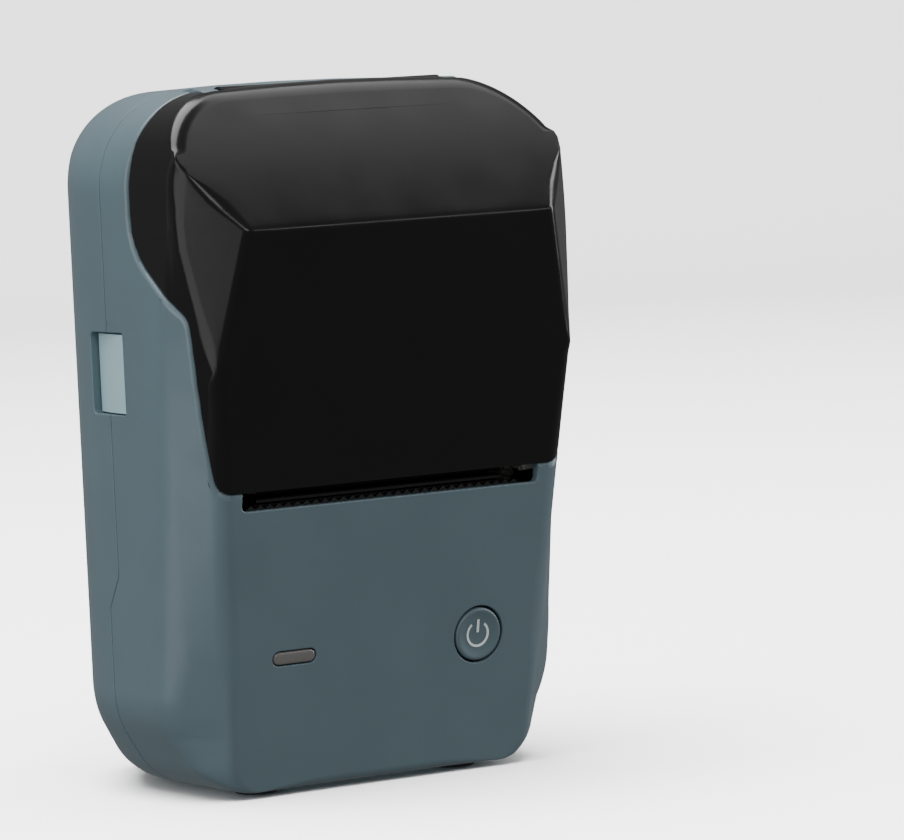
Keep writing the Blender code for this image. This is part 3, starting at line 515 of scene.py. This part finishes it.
def rib(x, z, side, facet, front, softness, steps):
    """One line over the case, from its rear face round to its front face."""
    mid_x, mid_y = REAR_MID
    high = max(0.0, z - (TOP_Z - 12.0))
    low = max(0.0, BASE_Z + 7.0 - z)
    rear = (x, REAR_SIDE_Y, z)
    middle = (x * mid_x / HALF_W, mid_y, z - 0.15 * high)
    cap = (x * REAR_HALF_W / HALF_W, REAR_Y, z - 0.75 * high + 0.75 * low)
    if not steps:
        return [cap, middle, rear, side, facet, front]
    lift = (96.0 - z) * min(max((z - 112.0) / 12.0, 0.0), 1.0)
    lift += (22.0 - z) * min(max((22.0 - z) / 14.0, 0.0), 1.0)
    inward = np.array((min(max(x, -8.0), 8.0) - x, lift))
    inward = inward / np.linalg.norm(inward) * 5.5
    rear_end = (cap[0] + inward[0], REAR_Y, cap[2] + inward[1])
    end_z = front[2] + inward[1]
    front_end = (front[0] + inward[0], front_y(end_z, soft=True), end_z)
    corners = (rear_end, cap, middle, rear, side, facet, front, front_end)
    return soft_path(corners, (0.0, 4.5, 6.0, 6.0, *softness, 0.0), steps)[1:]


def corner_path(steps):
    """Front view of a bottom corner, as (X, Z, how far the face's edge lies inside it)."""
    path = soft_path(CORNER, (0, 6.0, 5.0, 4.0, 0), steps)
    return path[1:-1]


def stations(steps, fine):
    """Half of the case as ribs, from the middle of the base up to the middle of the top."""
    found = []
    for x in (0.0, 16.0):
        edge = (x * 0.94, front_y(BASE_Z), BASE_Z)
        found.append(rib(x, BASE_Z, edge, edge, edge, (1.8, 1.8, 1.8), steps))
    for x, z, inset in reversed(corner_path(3 * fine)):
        edge = (x - inset, front_y(z), z)
        deep = (x, front_y(z) + min(8.0, inset * 1.1), z)
        found.append(rib(x, z, deep, edge, edge, (4.0, 1.3, 1.3), steps))
    heights = list(np.linspace(26.0, FACE_VERTEX[1], 4 * fine + 1))
    heights += list(np.linspace(FACE_VERTEX[1], CREASE_Z - CREASE_SOFT, 4 * fine + 1))[1:]
    heights += list(np.linspace(CREASE_Z - CREASE_SOFT, CREASE_Z + CREASE_SOFT, 5))[1:]
    heights += list(np.linspace(CREASE_Z + CREASE_SOFT, 112.4, 2 * fine + 1))[1:]
    for z in heights:
        front = (face_half_width(z), front_y(z), z)
        facet = front
        if z > FACE_VERTEX[1] + 0.01:
            back_x, back_y = facet_back(z)
            facet = (back_x, back_y, z)
        soft = (np.interp(z, (26.0, 60.0, 78.0, 95.0), (5.0, 3.0, 1.8, 2.0)),
                np.interp(z, (78.0, 90.0), (2.5, 1.2)),
                np.interp(z, (CREASE_Z, 110.0, FACET_TOP[1]), (1.3, 2.4, 1.0)))
        found.append(rib(HALF_W, z, (HALF_W, side_y(z), z), facet, front, soft, steps))
    top_z = FACET_TOP[1]
    middle_z = TOP_Z - CROWN - TOP_R
    count = 8 * fine
    for i in range(1, count + 1):
        turn = radians(90 * i / count)
        x = SHOULDER_X + TOP_R * cos(turn)
        z = middle_z + TOP_R * sin(turn)
        line = face_half_width(z)
        blend = max(0.0, TOP_BLEND - abs(line - x))
        front = (min(line, x) - blend ** 2 / (4 * TOP_BLEND), front_y(z), z)
        side = (x, max(side_y(z), front_y(z)), z)
        facet = front
        if z < top_z:
            back_x, back_y = facet_back(z)
            facet = (min(back_x, x), max(back_y, front_y(z)), z)
        soft = (np.interp(z, (112.0, 124.0), (2.0, 5.5)),
                np.interp(z, (112.0, top_z), (1.2, 0.8)),
                np.interp(z, (112.0, top_z, 124.0), (2.0, 1.0, 5.5)))
        found.append(rib(x, z, side, facet, front, soft, steps))
    for x in (SHOULDER_X / 2, 0.0):
        z = TOP_Z - CROWN * (x / SHOULDER_X) ** 2
        edge = (x, front_y(z), z)
        found.append(rib(x, z, edge, edge, edge, (5.5, 5.5, 5.5), steps))
    return found


def case_cage(steps, fine):
    """The case's outer form, as vertices and faces in mm."""
    half = stations(steps, fine)
    left = [[(-x, y, z) for x, y, z in s] for s in reversed(half[1:-1])]
    loop = [list(s) for s in half] + left
    verts = []
    index = {}

    def vertex(p):
        key = tuple(round(float(c), 4) for c in p)
        if key not in index:
            index[key] = len(verts)
            verts.append(tuple(p))
        return index[key]

    def face_of(corners):
        return tuple(v for n, v in enumerate(corners) if v != corners[n - 1])

    rings = [[vertex(p) for p in s] for s in loop]
    count = len(rings)
    faces = []
    for i in range(count):
        here, after = rings[i], rings[(i + 1) % count]
        for k in range(len(here) - 1):
            face = face_of([here[k], here[k + 1], after[k + 1], after[k]])
            if len(face) > 2:
                faces.append(face)
    faces.append(face_of([r[0] for r in rings]))
    fronts = [r[-1] for r in rings]
    middle = len(half) - 1
    start = next(n for n, v in enumerate(fronts) if verts[v][2] > CREASE_Z - CREASE_SOFT - 0.01)
    faces.append(face_of(fronts[count - start:] + fronts[:start + 1]))
    for n in range(start, middle):
        faces.append(face_of([fronts[n], fronts[n + 1], fronts[count - n - 1],
                              fronts[count - n]]))
    return verts, faces


def case_form(name, soften=True, inset=0.0, steps=2, fine=1):
    verts, faces = case_cage(steps if soften else 0, fine)
    form = mesh_object(name, verts, faces)
    if inset:
        work = bmesh.new()
        work.from_mesh(form.data)
        moves = {}
        for v in work.verts:
            normals = np.array([f.normal[:] for f in v.link_faces])
            wanted = np.full(len(normals), -inset * MM)
            move = Vector(np.linalg.lstsq(normals, wanted, rcond=0.2)[0])
            move.length = min(move.length, 1.8 * inset * MM)
            moves[v] = move
        for v, move in moves.items():
            v.co += move
        work.to_mesh(form.data)
        work.free()
    flatten(form)
    return form


def lid_side_outline(grow):
    """Side view of the space that belongs to the cover, grown by a clearance.

    The cover's own rear edge is round about the hinge; the case's edge is upright.
    """
    radius = BARREL_R + grow
    above = TOP_Z + 6
    low = rounded([
        (-60.0, above),
        (-60.0, LID_FOOT[1] - grow),
        (LID_FOOT[0] + grow, LID_FOOT[1] - grow),
        (LID_KNEE[0] + grow, LID_KNEE[1] - grow * 0.5),
        (HINGE_Y + radius, LID_SHOULDER_Z - grow * 0.5),
        (HINGE_Y + radius, HINGE_Z),
    ], (0, 0, 4.0, 4.0, 12.0, 0))
    if grow:
        return low + [(HINGE_Y + radius, above)]
    last_turn = 70
    edge = arc((HINGE_Y, HINGE_Z), radius, 0, last_turn, 5)[1:]
    run = (above - edge[-1][1]) * np.tan(radians(last_turn))
    return low + edge + [(edge[-1][0] - run, above)]


def rear_side_outline(grow):
    high_z, low_z = PART_STEP_Z
    return [
        (PART_Y - grow, 150.0), (PART_Y - grow, high_z), (PART_LOW_Y - grow, low_z),
        (PART_LOW_Y - grow, -10.0), (60.0, -10.0), (60.0, 150.0),
    ]


def on_front(name, outline, depth, start=-3.0):
    """A prism through the leaning front face, along its normal.

    The outline is (X, Z) on the face; depth and start are along the inward normal.
    """
    verts = []
    for t in (start, depth):
        for x, z in outline:
            verts.append(Vector((x, front_y(z), z)) + INWARD * t)
    count = len(outline)
    faces = [tuple(range(count)), tuple(range(count, 2 * count))]
    for i in range(count):
        j = (i + 1) % count
        faces.append((i, j, count + j, count + i))
    return mesh_object(name, verts, faces)


def pill(centre, half, grow=0.0, steps=6):
    long, short = half[0] + grow, half[1] + grow
    x, z = centre
    reach = long - short
    return (arc((x + reach, z), short, -90, 90, steps)
            + arc((x - reach, z), short, 90, 270, steps))


SCREWS = ((24.0, 124.3), (26.0, 9.2))
FEET = ((-22.0, -13.0), (22.0, -13.0), (-20.0, 15.0), (20.0, 15.0))
FOOT_R = 4.0
BOSS_R = 3.3
HEAD_R = 2.6
HEAD_Y = 7.0


def screw_places():
    return [(side * x, z) for x, z in SCREWS for side in (-1, 1)]


def release_hole(name, side, grow):
    y0, y1 = RELEASE_Y[0] - grow, RELEASE_Y[1] + grow
    z0, z1 = RELEASE_Z[0] - grow, RELEASE_Z[1] + grow
    outline = rounded([(y0, z0), (y1, z0), (y1, z1), (y0, z1)], (0.9,) * 4, 3)
    ends = sorted((side * 34.0, side * 50.0))
    return prism(name, outline, "x", *ends)


# ------------------------------------------------------------------ case and cover
FINE = {"steps": 6, "fine": 3}
FINE_GAP = 0.16            # gap that shows round the cover and along the seam


def near_line(y, z, outline, reach):
    """True if a point of the side view lies on an outline."""
    here = Vector((y, z))
    for i, b in enumerate(outline):
        a = Vector(outline[i - 1])
        along = Vector(b) - a
        share = min(1.0, max(0.0, (here - a).dot(along) / max(along.length_squared, 1e-9)))
        if (a + along * share - here).length < reach:
            return True
    return False


MERGE = 0.12               # corners nearer than this become one, mm
SHARP = 38                 # an edge this sharp or sharper, in degrees, is a rim


def dress(thing, name, finish, body, node, rims):
    """Rounds the rims of a moulded piece, smooths it and lets it stand for its CAD node.

    rims is a function from an edge's middle, in mm, to the width of its rounding.  A piece
    with no CAD node of its own has None for node.
    """
    work = bmesh.new()
    work.from_mesh(thing.data)
    bmesh.ops.remove_doubles(work, verts=work.verts, dist=MERGE * MM)
    bmesh.ops.dissolve_degenerate(work, edges=work.edges, dist=0.02 * MM)
    groups = {}
    for edge in work.edges:
        if len(edge.link_faces) == 2 and edge.calc_face_angle(0.0) > radians(SHARP):
            width = rims((edge.verts[0].co + edge.verts[1].co) / 2 / MM)
            if width:
                groups.setdefault(width, []).append(edge)
    for width, edges in sorted(groups.items(), reverse=True):
        edges = [e for e in edges if e.is_valid]
        bmesh.ops.bevel(work, geom=edges, offset=width * MM, segments=3, profile=0.5,
                        affect="EDGES", clamp_overlap=False)
    bmesh.ops.remove_doubles(work, verts=work.verts, dist=0.01 * MM)
    work.to_mesh(thing.data)
    work.free()
    thing.name = name
    thing.data.materials.clear()
    thing.data.materials.append(FINISHES[finish])
    thing.data.shade_smooth()
    thing.data.set_sharp_from_angle(angle=radians(40))
    even = thing.modifiers.new("even normals", "WEIGHTED_NORMAL")
    even.keep_sharp = True
    even.weight = 60
    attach(thing, body)
    if node:
        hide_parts(node)


def make_shells():
    outer = case_form("outer", **FINE)
    inner = case_form("inner", soften=False, inset=WALL)
    hollow = cut(copy_of(outer, "hollow"), inner)
    lid_edge = lid_side_outline(FINE_GAP)
    seam = rear_side_outline(0.0)
    outside = outside_of(outer)

    def rims(p):
        if abs(p.x) < HALF_W - 8 and SLOT_Z - 1 < p.z < SLOT_Z + 4 and p.y < -25:
            return 0.35
        if near_line(p.y, p.z, lid_edge, 0.25) and p.z < TOP_Z - 1:
            return 0.9 if outside(p, 0.3) else 0
        if near_line(p.y, p.z, seam, 0.4):
            return 0.18 if outside(p, 0.3) else 0
        if outside(p, 0.25):
            return 0.22
        return 0

    front = copy_of(hollow, "front")
    cut(front, prism("lid space", lid_edge, "x", -60, 60))
    cut(front, prism("rear space", rear_side_outline(FINE_GAP / 2), "x", -60, 60))
    slot = rounded(
        [(-SLOT_HALF_W, 60), (-SLOT_HALF_W, SLOT_Z), (SLOT_HALF_W, SLOT_Z), (SLOT_HALF_W, 60)],
        (0, 0.9, 0.9, 0), 3)
    cut(front, prism("slot", slot, "y", -45, -20))
    for side in (-1, 1):
        cut(front, release_hole("release", side, GAP))
    cut(front, on_front("hole", circle((BUTTON_X, BUTTON_Z), BUTTON_R + 0.45, 64), 6))
    cut(front, on_front("window", pill((LED_X, LED_Z), LED_HALF, 0.25, 12), 6))
    for side in (-1, 1):
        lug_x = sorted((side * (HINGE_HALF + GAP), side * (HINGE_HALF + 4.0)))
        lug = [(-9.0, HINGE_Z - 2.1), *arc((HINGE_Y, HINGE_Z), 2.1, 270, 90, 16),
               (-9.0, HINGE_Z + 2.1)]
        join(front, prism("lug", lug, "x", *lug_x))
    for x, z in screw_places():
        reach = -11.0 if z > 60 else -14.0
        back = PART_Y - GAP if z > 60 else PART_LOW_Y - GAP
        join(front, rod("boss", (x, z), BOSS_R, "y", reach, back, sides=32))
        foot = (z, TOP_Z - 1.2) if z > 60 else (BASE_Z + 0.7, z)
        join(front, box("rib", (x - 1, x + 1), (reach + 0.5, back - 0.5), foot))
    for x, y in FEET[:2]:
        cut(front, rod("foot pocket", (x, y), FOOT_R + GAP, "z", -2, BASE_Z + 0.8, sides=48))

    rear = keep(hollow, prism("rear space", rear_side_outline(-FINE_GAP / 2), "x", -60, 60))
    for side in (-1, 1):
        cut(rear, release_hole("release", side, GAP))
    for x, z in screw_places():
        start = PART_Y + GAP if z > 60 else PART_LOW_Y + GAP
        post = rod("post", (x, z), BOSS_R + 1.0, "y", start, REAR_Y + 2, sides=40)
        join(rear, keep(post, case_form("post limit", soften=False, inset=0.8)))
        cut(rear, rod("well", (x, z), HEAD_R + 0.5, "y", HEAD_Y, 60, sides=48))
    port = pill((0, 15.0), (5.2, 2.3), 0.0, 16)
    cut(rear, prism("port hole", port, "y", 30, 60))
    for x, y in FEET[2:]:
        cut(rear, rod("foot pocket", (x, y), FOOT_R + GAP, "z", -2, BASE_Z + 0.8, sides=48))
    dress(front, "front_moulding", "case_plastic", ROOT, "front_shell", rims)
    dress(rear, "rear_moulding", "case_plastic", ROOT, "rear_shell", rims)
    return outer


def make_seam_tongues():
    """A strip behind each side of the seam, so that no light passes between the shells."""
    high_z, low_z = PART_STEP_Z
    seam = [(PART_Y, 69.0), (PART_Y, high_z), (PART_LOW_Y, low_z), (PART_LOW_Y, 17.0)]
    strip = [(y - 1.4, z) for y, z in seam] + [(y + 1.4, z) for y, z in reversed(seam)]
    for side, word in ((-1, "left"), (1, "right")):
        ends = sorted((side * 40.1, side * 40.9))
        tongue = prism("tongue", strip, "x", *ends)
        join(tongue, box("upper", ends, (PART_Y - 1.4, PART_Y + 1.4), (90.0, 111.0)))
        dress(tongue, f"{word}_seam_tongue", "frame_plastic", ROOT, None, lambda p: 0.2)


def outside_of(form):
    """A test of whether a point, in mm, is within a distance of the outer surface."""
    tree = BVHTree.FromObject(form, bpy.context.evaluated_depsgraph_get())

    def test(p, reach):
        found = tree.find_nearest(p * MM)
        return found[3] is not None and found[3] < reach * MM
    return test


def make_lid(outer):
    """The cover; its sides lie a little below the shell round them."""
    inner = case_form("inner lid", soften=False, inset=WALL)
    skin = copy_of(outer, "lid skin")
    for v in skin.data.vertices:
        sideways = min(1.0, max(0.0, (abs(v.co.x) / MM - 40.5) / 2.0))
        back = min(1.0, max(0.0, (v.co.y / MM + 28.0) / 3.0))
        v.co -= v.normal * 0.6 * MM * sideways * back
    lid = cut(skin, inner)
    keep(lid, prism("lid zone", lid_side_outline(0.0), "x", -60, 60))
    join(lid, rod("barrel", (HINGE_Y, HINGE_Z), BARREL_R - 0.05, "x",
                  -HINGE_HALF, HINGE_HALF, sides=48))
    for side in (-1, 1):
        notch_x = sorted((side * HINGE_HALF, side * (HINGE_HALF + 4.4)))
        cut(lid, box("notch", notch_x, (HINGE_Y - 2.6, 0), (HINGE_Z - 5, TOP_Z + 2)))
    edge = lid_side_outline(0.0)
    outside = outside_of(outer)

    def rims(p):
        if p.z < TOP_Z - 4 and near_line(p.y, p.z, edge, 0.2) and outside(p, 0.9):
            return 0.3
        return 0

    dress(lid, "cover", "cover_plastic", "lid", "lid_cover", rims)


def dress_cad_nodes():
    slots = {s["node"]: s["material_slot"] for s in frame["record"]["subparts"]}
    for name, node in frame["nodes"].items():
        finish = DARK.get(name, FINISHES[slots[name]])
        node.data.materials.clear()
        node.data.materials.append(finish)


CAD_EDGE = 0.25            # rounding of a CAD node's edges
GEAR_EDGE = 0.15


def soften_cad_node(name, width):
    node = frame["nodes"][name]
    edge = node.modifiers.new("edge", "BEVEL")
    edge.limit_method = "ANGLE"
    edge.angle_limit = radians(35)
    edge.width = width * MM
    edge.segments = 2
    edge.use_clamp_overlap = True
    edge.harden_normals = True


# ------------------------------------------------------------------ controls
BUTTON = (BUTTON_X, BUTTON_Z)
LED = (LED_X, LED_Z)
MARK_GAP = 38              # half the opening in the power mark's ring, degrees


def make_power_button():
    work = bmesh.new()
    x, z = BUTTON
    turned(work, x, z, [(BUTTON_R + 1.3, 3.6), (BUTTON_R + 1.3, 2.5), (BUTTON_R, 2.4),
                        (BUTTON_R, 0.35), (BUTTON_R - 0.12, 0.05), (BUTTON_R - 0.4, -0.1),
                        (BUTTON_R - 0.75, -0.05), (BUTTON_R - 1.2, 0.12), (3.0, 0.28),
                        (1.5, 0.36), (0.0, 0.4)])
    piece("power_button_cap", work, "case_plastic", "power", 60, ["power_button"])

    ring = bmesh.new()
    steps = 40
    rows = []
    for i in range(steps + 1):
        turn = radians(90 + MARK_GAP + (360 - 2 * MARK_GAP) * i / steps)
        c, s = cos(turn), sin(turn)
        rows.append([(x + r * c, z + r * s, d) for r, d in
                     ((2.05, 0.38), (2.05, 0.30), (2.5, 0.24), (2.5, 0.34))])
    add_outline(ring, rows, on_face)
    bar = [[(x - 0.23, z + 0.3, d), (x + 0.23, z + 0.3, d), (x + 0.23, z + 2.75, d - 0.06),
            (x - 0.23, z + 2.75, d - 0.06)] for d in (0.42, 0.26)]
    add_outline(ring, bar, on_face)
    piece("power_mark", ring, PRINT, "power", 40)


def make_led():
    work = bmesh.new()
    x, z = LED
    rows = [[(px, pz, depth) for px, pz in pill_row(x, z, long, short)]
            for long, short, depth in ((5.45, 2.1, 3.4), (5.45, 2.1, 2.5), (4.5, 1.15, 2.4),
                                       (4.5, 1.15, 0.25), (4.38, 1.03, 0.06), (4.1, 0.75, 0.0),
                                       (3.65, 0.3, -0.02))]
    add_outline(work, rows, on_face)
    piece("indicator_window", work, "smoke_lens", ROOT, 50, ["led_lens"])


def make_release_buttons():
    y0, y1 = RELEASE_Y
    z0, z1 = RELEASE_Z
    for side, word in ((-1, "left"), (1, "right")):
        work = bmesh.new()
        rows = []
        steps = 10
        for i in range(steps + 1):
            share = i / steps
            y = y0 + (y1 - y0) * share
            top = HALF_W - 0.05 - RELEASE_SLOPE * share ** 1.5
            rows.append([(side * RELEASE_X, y, z0), (side * top, y, z0),
                         (side * (top + 0.02), y, 79.0), (side * top, y, z1),
                         (side * RELEASE_X, y, z1)])
        add_outline(work, rows, lambda *p: Vector(p) * MM)
        soften(work, 0.7 * MM, 4, 40)
        near, far = sorted((side * RELEASE_X, side * (RELEASE_X + 1.5)))
        add_block(work, [v * MM for v in (near, y0 - 1.5, z0 - 1.5)],
                  [v * MM for v in (far, y1 + 1.5, z1 + 1.5)], 0.3 * MM)
        piece(f"{word}_release_cap", work, "release_plastic", f"{word}_release", 50,
              [f"{word}_release_button"])


# ------------------------------------------------------------------ fasteners and feet
def make_screws():
    for i in range(1, 5):
        low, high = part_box(f"case_screw_{i}")
        x, z = (low[0] + high[0]) / 2, (low[2] + high[2]) / 2
        head_r = (high[0] - low[0]) / 2
        work = bmesh.new()

        def ring(r, y, sides=32):
            return [(x + r * cos(2 * pi * k / sides), y, z + r * sin(2 * pi * k / sides))
                    for k in range(sides)]

        top = high[1]
        rows = [ring(0.6 * MM, low[1]), ring(1.0 * MM, low[1] + 1.2 * MM)]
        thread = 22
        for k in range(thread):
            y = low[1] + (1.4 + 0.55 * k) * MM
            rows.append(ring((1.08 if k % 2 else 0.85) * MM, y))
        rows += [ring(1.05 * MM, top - 1.7 * MM), ring(head_r, top - 1.68 * MM),
                 ring(head_r, top - 0.8 * MM), ring(head_r * 0.86, top - 0.2 * MM),
                 ring(head_r * 0.6, top)]
        add_outline(work, rows, lambda *p: Vector(p))
        piece(f"screw_{i}", work, "steel", ROOT, 35, [f"case_screw_{i}"])
        # the cross recess is not cut; a black cross block is painted shade in its place
        cross = bmesh.new()
        for wide, tall in ((1.5, 0.28), (0.28, 1.5)):
            add_block(cross, (x - wide * MM, top - 0.5 * MM, z - tall * MM),
                      (x + wide * MM, top + 0.02 * MM, z + tall * MM), 0.05 * MM)
        piece(f"screw_recess_painted_shade_{i}", cross, SCREW_RECESS_SHADE, ROOT, 35)


def make_feet():
    for i in range(1, 5):
        low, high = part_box(f"rubber_foot_{i}")
        x, y = (low[0] + high[0]) / 2, (low[1] + high[1]) / 2
        r = (high[0] - low[0]) / 2
        work = bmesh.new()
        rows = []
        for radius, z in ((r - 1.2 * MM, 0.15 * MM), (r - 0.7 * MM, 0.0), (r - 0.35 * MM, 0.0),
                          (r - 0.1 * MM, 0.12 * MM), (r, 0.4 * MM), (r, high[2])):
            rows.append([(x + radius * cos(2 * pi * k / 48), y + radius * sin(2 * pi * k / 48), z)
                         for k in range(48)])
        add_outline(work, rows, lambda *p: Vector(p))
        piece(f"foot_{i}", work, "foot_rubber", ROOT, 40, [f"rubber_foot_{i}"])


# ------------------------------------------------------------------ light and floor
FLOOR_R = 1.5


def make_stage():
    """A pale floor that curves up all round, far enough to leave soft shadows only."""
    work = bmesh.new()
    bend = 0.8
    turns = [radians(t) for t in range(0, 91, 6)]
    profile = [(FLOOR_R + bend * sin(t), bend - bend * cos(t)) for t in turns]
    profile.append((FLOOR_R + bend, 3.2))
    sides = 96
    rings = [[work.verts.new((r * cos(2 * pi * k / sides), r * sin(2 * pi * k / sides), z))
              for k in range(sides)] for r, z in profile]
    work.faces.new(rings[0])
    for low, high in zip(rings, rings[1:]):
        for k in range(sides):
            after = (k + 1) % sides
            work.faces.new((low[k], high[k], high[after], low[after]))
    mesh = bpy.data.meshes.new("floor")
    work.to_mesh(mesh)
    work.free()
    mesh.shade_smooth()
    floor = bpy.data.objects.new("floor", mesh)
    bpy.context.scene.collection.objects.link(floor)
    mesh.materials.append(PALE)
    floor.visible_glossy = False
    floor.visible_diffuse = False
    return floor


def soft_light(name, place, aim, size, power):
    data = bpy.data.lights.new(name, "AREA")
    data.shape = "RECTANGLE"
    data.size, data.size_y = size
    data.energy = power
    made = bpy.data.objects.new(name, data)
    made.location = place
    made.rotation_euler = (Vector(aim) - Vector(place)).to_track_quat("-Z", "Y").to_euler()
    bpy.context.scene.collection.objects.link(made)
    return made


def make_lights(floor):
    aim = (0, 0, 0.065)
    soft_light("left_softbox", (-1.2, -0.17, 0.35), aim, (1.1, 1.2), 10.5)
    soft_light("top_softbox", (-0.15, 0.45, 1.25), aim, (1.1, 0.7), 20)
    soft_light("top_card", (0.70, 0.16, 1.20), aim, (1.0, 0.45), 4.0)
    soft_light("crease_strip", (0.62, -0.83, 0.50), aim, (0.6, 0.10), 0.9)
    soft_light("front_fill", (-0.5, -1.3, 0.8), aim, (0.5, 0.5), 5.0)
    soft_light("right_strip", (1.0, -0.30, 0.4), aim, (0.18, 0.9), 6)
    wash = soft_light("floor_wash", (-0.6, -0.2, 2.4), (0, 0.5, 0.1), (2.5, 2.5), 330)
    only_floor = bpy.data.collections.new("floor_only")
    only_floor.objects.link(floor)
    wash.light_linking.receiver_collection = only_floor
    world = bpy.data.worlds.new("studio")
    world.use_nodes = True
    shade = world.node_tree.nodes["Background"]
    shade.inputs["Color"].default_value = (1, 1, 1, 1)
    shade.inputs["Strength"].default_value = 0.22
    bpy.context.scene.world = world


make_camera()
make_lights(make_stage())
dress_cad_nodes()
for part in frame["nodes"]:
    if part not in ("front_shell", "rear_shell", "lid_cover"):
        soften_cad_node(part, GEAR_EDGE if "gear" in part or "pinion" in part else CAD_EDGE)
outer_form = make_shells()
make_lid(outer_form)
make_seam_tongues()
bpy.data.objects.remove(outer_form, do_unlink=True)
make_power_button()
make_led()
make_release_buttons()
make_screws()
make_feet()
